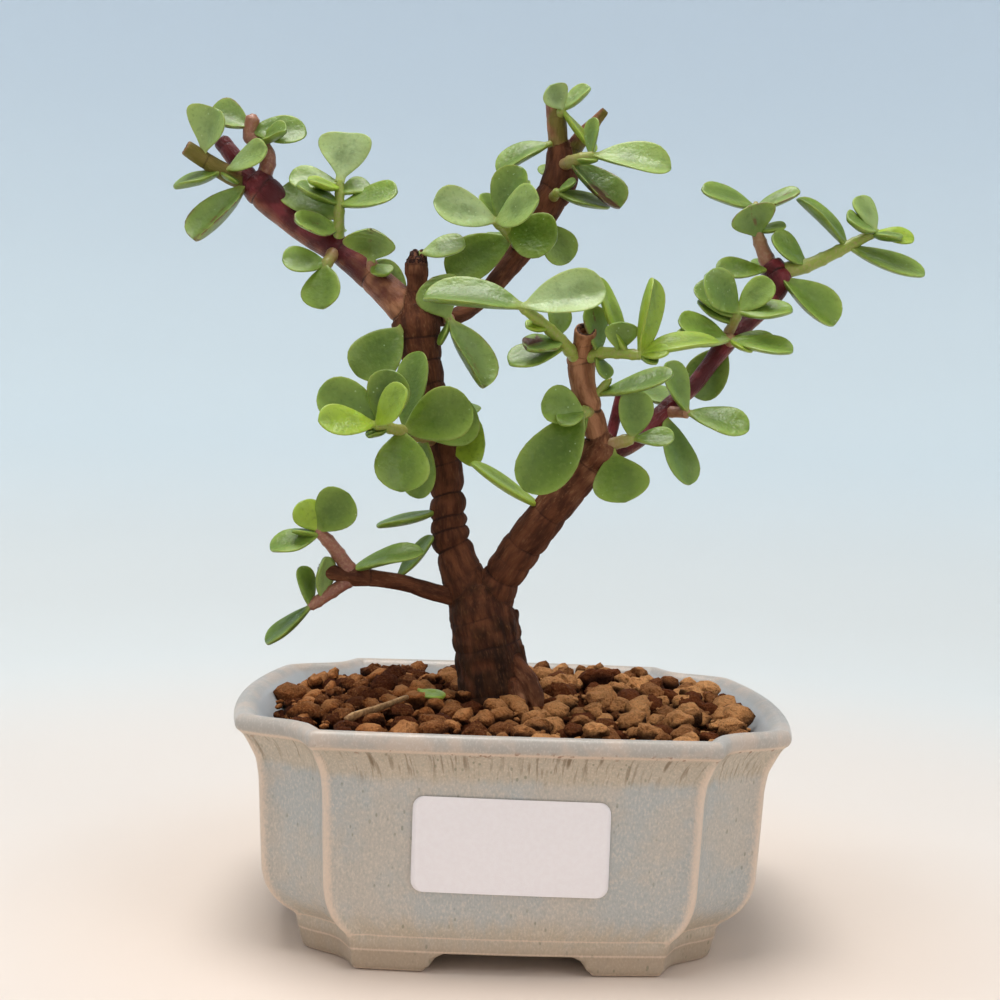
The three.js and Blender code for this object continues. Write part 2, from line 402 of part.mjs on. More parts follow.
// Each shoot: its stem's waypoints [x, y, z, radius] and its leaves
// [place along the stem, heading, lean, length, width, roll, cup, curl].
const SHOOTS = {
  shoot_left_tip_up: {
    stem: [[-66, 12, 173, 2], [-64, 11, 181.6, 1.8], [-68.5, 11, 185.8, 1.7], [-67.5, 10, 191, 1.6]],
    leaves: [[0.66, 8, 28, 10, 6.5, 40], [0.88, 166, -16, 11, 7, 45], [0.84, -6, -4, 13, 8.5, 25]],
  },
  shoot_upper_left: {
    stem: [[-45.5, 6, 157, 1.5], [-45.3, 4, 166, 1.3], [-45.3, 4, 175, 1]],
    leaves: [[1, 83, -15, 11, 13, 0], [0.96, 177, -8, 12.5, 8, 50], [0.9, -176, 40, 9, 6, 45],
      [0.7, 169, 18, 11, 8, 50], [0.68, 5, 12, 15, 9.5, 55], [0.84, 24, -24, 8, 6, 40],
      [0.36, -177, 30, 10.5, 6.5, 30], [0.5, 150, -30, 18.5, 10.5, 15]],
  },
  shoot_upper_left_short: {
    stem: [[-36.9, 3.2, 151, 1.5], [-36.7, -0.6, 155.4, 1.2]],
    leaves: [[1, 86, 44, 9.6, 12.5, 10, 1.6], [0.8, -40, 30, 6, 6, 30]],
  },
  shoot_left_branch_low: {
    stem: [[-46.2, 5, 157.5, 1.6], [-47.8, -1, 152.8, 1.3]],
    leaves: [[0.9, -174, 12, 10.5, 8, 25], [1, -88, 20, 12, 10, 10]],
  },
  shoot_front: {
    stem: [[-20.2, -0.5, 112.6, 1.6], [-26.6, -16, 114, 1.4], [-32.9, -26, 115.3, 1.1]],
    leaves: [[0.24, 26, -8, 13.5, 11.8, 10], [0.26, -91, -8, 14.5, 9, 20], [0.6, 82, -14, 19, 9.5, 35],
      [0.64, 23, 0, 16.5, 12.5, 10], [0.68, -84, 16, 14.5, 12.8, 5], [0.86, 156, 0, 17, 11, 20],
      [1, -177, 24, 13.4, 8.4, 40], [1, 43, 30, 12, 8.4, 35], [0.92, 80, 8, 12.7, 10, 15],
      [0.84, -150, 34, 6, 4.5, 55]],
  },
  shoot_middle_low: {
    stem: [[-18.2, 3.6, 142, 1.5], [-17.8, -2.5, 141.2, 1.2]],
    leaves: [[1, 118, 20, 11, 11.5, 15], [1, -64, 8, 19, 10.5, 35, 2.4], [1, -100, 25, 7.5, 4, 70]],
  },
  shoot_middle_front: {
    stem: [[-0.8, 13.4, 161.6, 1.7], [-4.4, 4, 163.5, 1.4], [-7.7, -3, 164.9, 1.2]],
    leaves: [[1, 172, 12, 15.7, 10.5, 25, 1.4], [1, 26, 34, 13.5, 9, 30], [0.94, 66, 6, 14, 9.5, 35, 1.8],
      [0.86, 126, -14, 9, 6, 40], [0.5, 70, -20, 15.5, 5, 60], [0.4, -149, -8, 18.5, 11.5, 20],
      [0.3, -34, 14, 13, 10, 10]],
  },
  shoot_middle_right: {
    stem: [[6.2, 14.6, 173.6, 1.4], [7.6, 8.5, 174.6, 1.1]],
    leaves: [[1, -19, 0, 13.4, 8, 50], [1, 25, 15, 5.5, 4, 60]],
  },
  shoot_top: {
    stem: [[6.8, 16, 194.2, 1.4], [9.4, 14, 196.4, 1.1]],
    leaves: [[1, 129, 10, 7.2, 7.5, 30], [1, 38, 5, 8, 5.5, 50], [1, -55, 8, 13.6, 5.5, 70]],
  },
  shoot_top_right: {
    stem: [[8.7, 15.6, 182.3, 1.6], [11.5, 8, 182.3, 1.4], [16.5, 5, 182.9, 1.2]],
    leaves: [[0.5, -50, 10, 17.4, 10, 40, 2.2], [0.6, -14, 34, 7, 4.5, 60], [1, -1, 6, 20, 12, 48, 1.5],
      [0.94, 84, -6, 9.5, 5, 60]],
  },
  shoot_centre_left: {
    stem: [[12.6, -19.6, 130.6, 1.6], [6.5, -28, 135.8, 1.3], [-1.8, -35.5, 141.3, 1.1]],
    leaves: [[1, 171, 6, 21, 12, 45, 1.5, -0.2], [1, 12, 6, 17.8, 11, 35, 1.5], [0.5, 92, -10, 7, 6, 30],
      [0.65, -175, 25, 5.5, 4.5, 50], [0.42, -160, 35, 11, 8, 50], [0.35, -156, 15, 14, 8.5, 45]],
  },
  shoot_centre_right: {
    stem: [[13, -20, 131.6, 1.6], [16.8, -25, 132.7, 1.3], [25, -32.5, 131.9, 1.1]],
    leaves: [[0.35, 105, 0, 10.5, 7, 45], [0.3, -69, 20, 6.5, 5, 50], [0.68, 90, 15, 7, 7.5, 20],
      [0.8, 116, -10, 18, 7, 60], [1, 88, 0, 16.5, 9.5, 50, 1.8], [1, 24, 6, 17, 8, 50, 1, -0.28],
      [1, 2, 25, 6.5, 5, 60], [0.98, -30, 15, 4.5, 3.5, 60], [0.14, 70, -25, 7, 5, 40]],
  },
  shoot_centre_twig: {
    stem: [[14.4, -18, 121.6, 1.2], [19.5, -20.5, 127.5, 0.8]],
    leaves: [[0.5, 8, 20, 18, 8, 60]],
  },
  shoot_knob_left: {
    stem: [[15.6, -17, 120, 1.6], [13.1, -23.5, 119.6, 1.3]],
    leaves: [[1, -125, 8, 22.5, 12.5, 10], [1, 170, 8, 10, 9, 10], [1, -144, 35, 8, 5.5, 50],
      [0.6, -106, -15, 8, 5, 50]],
  },
  shoot_knob_right: {
    stem: [[18.2, -15.6, 112, 1.6], [25.6, -18.5, 114.4, 1.3]],
    leaves: [[1, 90, -5, 11, 9.5, 15], [1, -4, 12, 9.5, 6, 55]],
  },
  shoot_right_low: {
    stem: [[33.2, -8.6, 121, 1.4], [38.7, -13.5, 120.6, 1.2]],
    leaves: [[1, 123, 0, 12.5, 8, 45, 1.5], [1, -15, 12, 14.5, 9, 40]],
  },
  shoot_right_node_up: {
    stem: [[48.4, -3, 139.5, 1.3], [50.2, -8, 145.2, 1.1]],
    leaves: [[1, 140, 15, 12.5, 10, 25], [1, 44, 0, 10.5, 7.5, 35], [1, -2, 15, 12.4, 8, 45],
      [0.85, 146, -15, 12.2, 9, 30], [0.6, 150, -10, 10, 7, 40]],
  },
  shoot_right_node_low: {
    stem: [[49.2, -3.4, 138.4, 1.6], [48, -8.5, 138.2, 1.4]],
    leaves: [[0.9, 170, 10, 13.5, 8.5, 45], [1, -172, 20, 14, 8.5, 55], [0.9, -8, 10, 11, 8, 40],
      [1, -14, 20, 15, 8.5, 45], [1, -35, 30, 6.5, 4.5, 55]],
  },
  shoot_right_up: {
    stem: [[59.6, 4.4, 157.6, 2], [56.9, 5, 166, 1.4], [56.7, 5, 173.2, 1.1]],
    leaves: [[0.95, 168, 6, 14.5, 8, 50], [0.55, 123, 20, 9, 10.5, 10], [0.95, 14, 12, 9.5, 7.5, 45],
      [0.6, 6, 12, 7, 4.5, 60]],
  },
  shoot_right_tip: {
    stem: [[61.6, 3.4, 156.4, 2], [67.1, 3, 157.2, 1.6], [76.6, 2, 161.8, 1.2], [82.6, 1, 165.2, 1]],
    leaves: [[0.3, 151, 8, 11.5, 8, 40], [0.7, 129, 0, 16.5, 8, 50, 1.6, -0.2], [0.74, -28, 8, 21, 9.5, 45],
      [0.99, 176, 30, 9.6, 8, 50], [0.96, -34, 34, 7.5, 6.5, 50], [1, 116, -10, 9.6, 7, 35],
      [1, -8, 4, 11, 5.5, 45]],
  },
  shoot_low_left_up: {
    stem: [[-37.8, -9.8, 80.2, 1.8], [-43.7, -13, 88.4, 1.5], [-46.6, -14.5, 91.2, 1.2]],
    leaves: [[0.14, 26, 12, 17.5, 7.5, 66, 1, -0.16], [1, 48, 5, 11.5, 10.5, 15], [0.95, -156, 12, 11.8, 8, 40],
      [0.98, 122, 5, 8, 7.5, 20], [0.9, 178, 30, 7.5, 4, 70]],
  },
  shoot_low_left_down: {
    stem: [[-38, -10, 79.8, 1.6], [-45.3, -12, 74.6, 1.4], [-48, -13, 72.6, 1.1]],
    leaves: [[1, 109, -5, 9.5, 6, 60], [0.75, 93, 8, 10, 7, 50], [1, -134, 12, 13, 7.5, 60]],
  },
};
// Leaves that sit on the wood itself: where each is rooted, then its leaf rows without a place.
const SINGLE_LEAVES = {
  leaf_left_tip_hanging: [[-69.4, 10.2, 173.4], [[-118, 15, 19, 11, 30, 2.2]]],
  leaf_left_tip_lower: [[-75.2, 9, 176.4], [[-162, 10, 11.8, 8, 70], [-35, 10, 5.5, 4, 60]]],
  leaf_left_tip_upper: [[-79.6, 8, 180.2], [[50, 8, 11, 8.5, 45]]],
  leaf_left_tip_front: [[-73.2, 9, 177], [[20, 22, 12.4, 8, 40]]],
  leaf_behind_torn_stub: [[-28.5, 4, 146.5], [[134, -10, 12, 8, 20]]],
  leaf_fork_left: [[-28.8, -4, 138.6], [[-128, 10, 16, 12, 10]]],
  leaf_left_trunk: [[-17.6, -1, 111], [[4, 6, 9.6, 12.5, 12]]],
  leaf_torn_stub: [[-24.8, -2.4, 156.6], [[7, 8, 10.7, 8, 40]]],
  leaf_middle_right: [[3.8, 14, 167.6], [[-52, -4, 12, 9.5, 20]]],
  leaf_top_left: [[6.4, 14.6, 186.8], [[-159, 12, 15, 10.5, 40]]],
  leaf_knob_front: [[20.4, -17.4, 111], [[-74, 22, 13, 13, 0]]],
  leaf_right_branch: [[33.2, -10, 119.8], [[-73, 6, 17, 9.5, 30]]],
  leaf_right_node_back: [[48.4, -1.4, 137.4], [[-116, -12, 14, 11, 15]]],
  leaf_right_inner: [[58.6, 2.6, 156.4], [[-173, 12, 13.6, 8, 50]]],
  leaf_right_hanging: [[61.8, 1.4, 154.4], [[-47, 10, 17, 11, 40, 2]]],
  leaf_low_left_twig: [[-28, -5.6, 79.6], [[47, -10, 13, 6.5, 58]]],
  leaf_low_left_trunk: [[-18.8, -1.6, 95.8], [[-157, 12, 15.4, 7, 72]]],
  leaf_right_trunk: [[5.8, -9.4, 97.4], [[155, 8, 20, 7, 65]]],
  leaves_left_branch_back: [[-52, 11.6, 161.6], [[62, -66, 14, 9, 15], [160, -68, 12, 8, 50]]],
  leaves_left_trunk_back: [[-19.6, 3, 117.4], [[28, -58, 15, 10, 45], [150, -56, 15, 10, 45]]],
  leaves_middle_branch_back: [[-1.8, 16.2, 160.6], [[40, -62, 13, 9, 35], [138, -60, 14, 9, 40]]],
  leaves_top_back: [[8.4, 20.4, 180], [[100, -68, 13, 9, 0]]],
  leaf_right_branch_back: [[35.6, -6.8, 122.6], [[150, -60, 13, 8, 45]]],
  leaf_right_end_back: [[60.8, 5.4, 154.4], [[95, -66, 13, 8.5, 5]]],
};

/** A shoot's leaves and stem in one, cut back to its seat on the wood. */
function shootSolid({ stem, leaves }, seat) {
  const path = new THREE.CatmullRomCurve3(stem.map(([x, y, z]) => vec(x, y, z)), false, 'centripetal');
  const parts = leaves.map(([at, ...shape]) => {
    const root = path.getPointAt(at).addScaledVector(path.getTangentAt(at), -LEAF.sink);
    return leafSolid(root, shape);
  });
  return largest(join([stemSolid(stem, { sides: SHOOT_SIDES }), ...parts]).subtract(seat));
}

function singleLeafSolid([root, leaves], seat) {
  return largest(join(leaves.map((shape) => leafSolid(vec(...root), shape))).subtract(seat));
}

// ---------- loose things on the soil ----------
/** A dry straw: a slim six-sided sliver. */
function strawSolid() {
  return stemSolid([[-36.3, -35, 50.5, 0.55], [-30, -25, 51, 0.6], [-24.3, -14.6, 51.5, 0.45]], { sides: 6 });
}

function fallenLeafSolid() {
  return leafSolid(vec(-20.8, -6.5, 52.4), [-5, 48, 10, 4.6, 80, 0.6]);
}

// ---------- assembly ----------
const wood = woodSolid();
const seat = woodSolid(SEAT_GAP);
const bonsai = new THREE.Group();
bonsai.add(piece('pot', potSolid(), GLAZE));
for (const [name, foot] of cornerFeet()) bonsai.add(piece(name, foot, GLAZE));
const screens = join([-1, 1].map((side) => drainScreen(side, SEAT_GAP)));
bonsai.add(piece('soil', largest(soilSolid(seat.add(screens))), CLAY));
bonsai.add(piece('wood', wood, BARK));
bonsai.add(piece('label', labelSolid(), PAPER));
bonsai.add(piece('drain_screen_left', drainScreen(-1), PLASTIC));
bonsai.add(piece('drain_screen_right', drainScreen(1), PLASTIC));
bonsai.add(piece('straw', strawSolid(), STRAW));
bonsai.add(piece('fallen_leaf', fallenLeafSolid(), PALE_JADE));
for (const [name, shoot] of Object.entries(SHOOTS)) bonsai.add(piece(name, shootSolid(shoot, seat), JADE));
for (const [name, leaf] of Object.entries(SINGLE_LEAVES)) {
  bonsai.add(piece(name, singleLeafSolid(leaf, seat), JADE));
}

const box = new THREE.Box3().setFromObject(bonsai);
const middle = box.getCenter(vec(0, 0, 0));
bonsai.position.set(-middle.x, -middle.y, -box.min.z);

export default bonsai;
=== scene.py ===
"""Dwarf jade bonsai in a glazed pot: the finished looks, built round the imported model.

Lengths in this script are millimetres, measured from the pot's centre on the surface that it stands on.
X runs along the pot's front, -Y is the front, and place() turns them into the frame's metres.
"""

import math
import random

import bpy
import numpy as np
from mathutils import Matrix, Vector, noise


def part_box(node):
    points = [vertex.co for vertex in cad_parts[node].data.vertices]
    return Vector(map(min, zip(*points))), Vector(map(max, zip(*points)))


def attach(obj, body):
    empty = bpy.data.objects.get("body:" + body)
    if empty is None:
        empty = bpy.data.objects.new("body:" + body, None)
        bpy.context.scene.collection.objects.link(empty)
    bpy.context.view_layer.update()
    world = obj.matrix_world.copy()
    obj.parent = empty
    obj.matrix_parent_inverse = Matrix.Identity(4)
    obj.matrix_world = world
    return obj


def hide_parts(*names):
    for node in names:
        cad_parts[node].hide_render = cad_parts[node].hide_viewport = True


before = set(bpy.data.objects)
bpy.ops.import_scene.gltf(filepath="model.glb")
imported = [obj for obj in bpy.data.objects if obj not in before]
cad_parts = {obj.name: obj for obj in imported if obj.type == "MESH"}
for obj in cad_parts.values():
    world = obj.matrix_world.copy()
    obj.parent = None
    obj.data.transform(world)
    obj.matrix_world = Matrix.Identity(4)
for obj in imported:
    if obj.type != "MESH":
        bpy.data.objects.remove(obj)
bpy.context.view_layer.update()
MM = 0.001
POT_LOW, POT_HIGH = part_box("pot")
POT_CENTRE = (POT_LOW.x + POT_HIGH.x) / 2
POT_NODES = sorted(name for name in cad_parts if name.startswith("pot"))

# ---------- sizes: limbs ----------
# age: at each end, 0 crimson, 0.35 tan, 0.7 brown, 1 dark. creases: [height, how deep, how far it tips along X],
# by rule where none are given. line: [x, y, z, radius]. end: how the far end finishes, and how deep it is hollow.
LIMBS = {
    "base": {"age": (1, 0.84), "rugged": 1,
        "creases": [[52.6, 0.35, 0.05], [57.5, 0.15, 0.05], [63.8, 0.5, 0], [70.5, 0.25, 0.1]],
        "line": [[-2.6, 0, 42, 9.5], [-3.4, 0, 51, 9], [-4.7, 0, 58, 8.2], [-6.3, 0, 65, 7.9], [-8.1, 0, 73, 7.3],
        [-9, 0, 78, 5.4]]},
    "left_trunk": {"age": (0.84, 0.7), "rugged": 0.9,
        "creases": [[80.5, 0.3, 0.2], [87.2, 0.85, 0.25], [91.3, 0.8, 0.15], [94.6, 0.85, 0.2], [99.6, 0.9, 0.2],
        [107, 0.5, 0.2], [113.5, 0.4, 0.1], [119.5, 0.3, 0.1], [125.5, 0.45, 0.1], [131, 0.5, 0],
        [136.4, 0.55, -0.1]],
        "line": [[-8.6, 0, 70, 5.4], [-11.2, 0, 77, 5.2], [-14.1, 0, 84, 4.4], [-16, 0, 90.4, 4.6],
        [-16.7, 0, 97, 4.1], [-17.4, 0, 105.5, 3.6], [-19.2, 0, 115, 3.5], [-21.8, 0, 123.5, 3.7],
        [-24.2, 0, 133, 4.5], [-25.6, 0, 140, 5.6], [-26.4, 0, 144, 4.4]]},
    "left_branch": {"age": (0.32, -0.1),
        "creases": [[143.3, 0.6, 0.3], [151.7, 0.5, 0.2], [157.4, 0.4, -0.2], [172.6, 0.6, 0.2]],
        "line": [[-25.6, 0, 139, 4.6], [-29.2, 0, 144.3, 3.8], [-34.9, 3, 149.7, 3.4], [-43.8, 6, 157.1, 3.2],
        [-52.4, 9, 162.4, 3.3], [-59.4, 11, 167.6, 3.5], [-65.4, 12, 173, 4.2], [-67.8, 12, 175.2, 3.4]]},
    "tip_stub": {"age": (0, 0),
        "line": [[-67.6, 12.2, 173.6, 2.6], [-72, 14, 180, 2.1], [-76.4, 16, 185.4, 2]]},
    "tip_twig": {"age": (0.22, 0.32), "end": "hollow", "green": 1,
        "line": [[-66.5, 12, 173.2, 2.4], [-70, 11.6, 174.8, 2.3], [-75.7, 10, 177.3, 2], [-83, 7, 181.4, 1.8]]},
    "torn_stub": {"age": (0.68, 0.62), "end": "torn",
        "line": [[-25.3, 0, 140, 2.6], [-25.6, -0.5, 147, 2.1], [-25.9, -1, 154, 2.5], [-26.1, -1, 157.8, 3]]},
    "middle_branch": {"age": (0.6, 0.74),
        "line": [[-25, 0, 140.5, 3], [-22, 1.5, 141.8, 2.1], [-16.6, 5, 142.8, 1.9], [-11.1, 9, 147, 2],
        [-5.2, 12, 154.5, 2.4], [-0.6, 14, 161.4, 3], [5.1, 16, 172.1, 3.8], [8.5, 17, 179.5, 4.2],
        [8.5, 17.5, 186, 3.4]]},
    "top_cut_stub": {"age": (0.3, 0.3), "end": "hollow", "hollow": 2.4, "green": 1,
        "line": [[8.4, 17.2, 182, 2.8], [7.6, 16.8, 189, 2.3], [6.5, 16, 198.3, 2.3]]},
    "top_dry_stub": {"age": (0, 0.6), "end": "dry", "green": 0.9,
        "line": [[9, 17.2, 182, 2.6], [12.4, 17.4, 188.5, 2], [16, 17, 193, 1.9], [19.2, 16, 196.8, 1.5]]},
    "right_trunk": {"age": (0.84, 0.54), "rugged": 0.8,
        "creases": [[76.5, 0.4, 0.1], [80.6, 0.6, 0], [84.5, 0.35, 0.1], [88.7, 0.62, 0], [92.6, 0.2, 0],
        [96.8, 0.5, 0.05], [102.5, 0.25, 0], [108.6, 0.6, 0.1]],
        "line": [[-8, 0, 70, 5], [-5.3, -0.5, 75, 5], [-3.2, -2, 80.3, 4.4], [0.4, -4, 86.4, 4.5], [4.8, -7, 93, 4.3],
        [8.7, -10, 98.5, 4.1], [13.8, -13, 105.7, 4], [17.4, -15, 110.5, 4.5], [18.2, -15.4, 113, 3.4]]},
    "upright_branch": {"age": (0.42, 0.34),
        "creases": [[112.8, 0.95, -0.5], [120.8, 0.85, -0.45], [131.2, 0.5, 0.1]],
        "line": [[17.6, -15, 110, 3.2], [16.6, -16, 115.9, 2.7], [14.9, -18, 120.8, 2.9], [13.3, -19, 125.9, 2.6],
        [12.6, -20, 131.4, 3.1], [12.6, -20.6, 133.4, 2.6]]},
    "cut_stub": {"age": (0.36, 0.45), "end": "hollow",
        "line": [[12.6, -20, 131, 2.3], [12.7, -22.6, 134.4, 2.1], [12.9, -25.8, 137.4, 2.3]]},
    "crimson_twig": {"age": (0, 0),
        "line": [[18.6, -14.6, 111, 1.6], [20.6, -12.6, 115, 1.3], [22.9, -10, 125, 1.1]]},
    "right_branch": {"age": (0.1, -0.05),
        "creases": [[111.4, 0.8, 0.3], [121.4, 0.4, 0.1], [138.6, 0.6, 0.1], [149.6, 0.4, 0.1], [155.6, 0.7, 0.1]],
        "line": [[17.8, -15, 110.6, 2.8], [21.6, -13.4, 111.4, 2.2], [27.8, -11, 114.8, 1.9], [33.4, -9, 121.3, 1.9],
        [39.9, -7, 127, 1.8], [44.3, -5, 132.7, 1.8], [48.6, -3, 138.4, 2.3], [53, -1, 142.6, 2],
        [56.7, 0, 145.9, 1.8], [60.1, 2, 149.6, 2], [61.4, 3, 154.6, 3], [59.6, 4, 158, 2.6]]},
    "low_left_twig": {"age": (0.72, 0.6), "end": "hollow", "rugged": 0.6,
        "line": [[-9, 0, 73.5, 2.6], [-15, -1.6, 75.2, 2], [-20.2, -4, 76.6, 1.9], [-26.1, -6, 78.5, 1.8],
        [-32.3, -8, 79.5, 1.8], [-38.2, -10, 80.3, 2.3], [-41, -10.8, 80.7, 1.7], [-45.5, -12, 81.4, 1.6]]},
    "root_flare": {"age": (0.66, 0.5), "rugged": 1,
        "creases": [], "line": [[0.4, -4.6, 61, 1.6], [3.4, -5.8, 56.6, 2.5], [5.4, -6.6, 52.6, 2.3],
        [6.2, -7, 49.6, 1.8]]},
    "root_foot": {"age": (0.66, 0.5), "rugged": 1,
        "creases": [], "line": [[0.2, -7.2, 56, 1.4], [1.6, -8.8, 52.4, 1.8], [2.4, -9.6, 49.6, 1.5]]},
    "root_back": {"age": (0.66, 0.5), "rugged": 1,
        "creases": [], "line": [[-1, 5.4, 60, 1.5], [1.6, 7.4, 54.4, 1.9], [3.8, 9.4, 49.8, 1.3]]},
}
OPEN_ENDS = {"hollow": 1.4, "torn": 3.0}  # how deep a cut or torn end is sunk
TORN_HEIGHT = 154.0  # where the torn stub's solid wood ends and its splinters begin
SPLINTERS = 44
SHREDS = 26  # slips of old bark that stand off the foot of the trunk
LIMB_SIDES, LIMB_SPACING = 28, 0.35
WOOD_VOXEL = 0.4  # the size of the cells that melt the limbs into one
SMOOTH_BARK = 0.3  # how rugged a limb is where the table doesn't say
POINTS_AT_ONCE = 4000

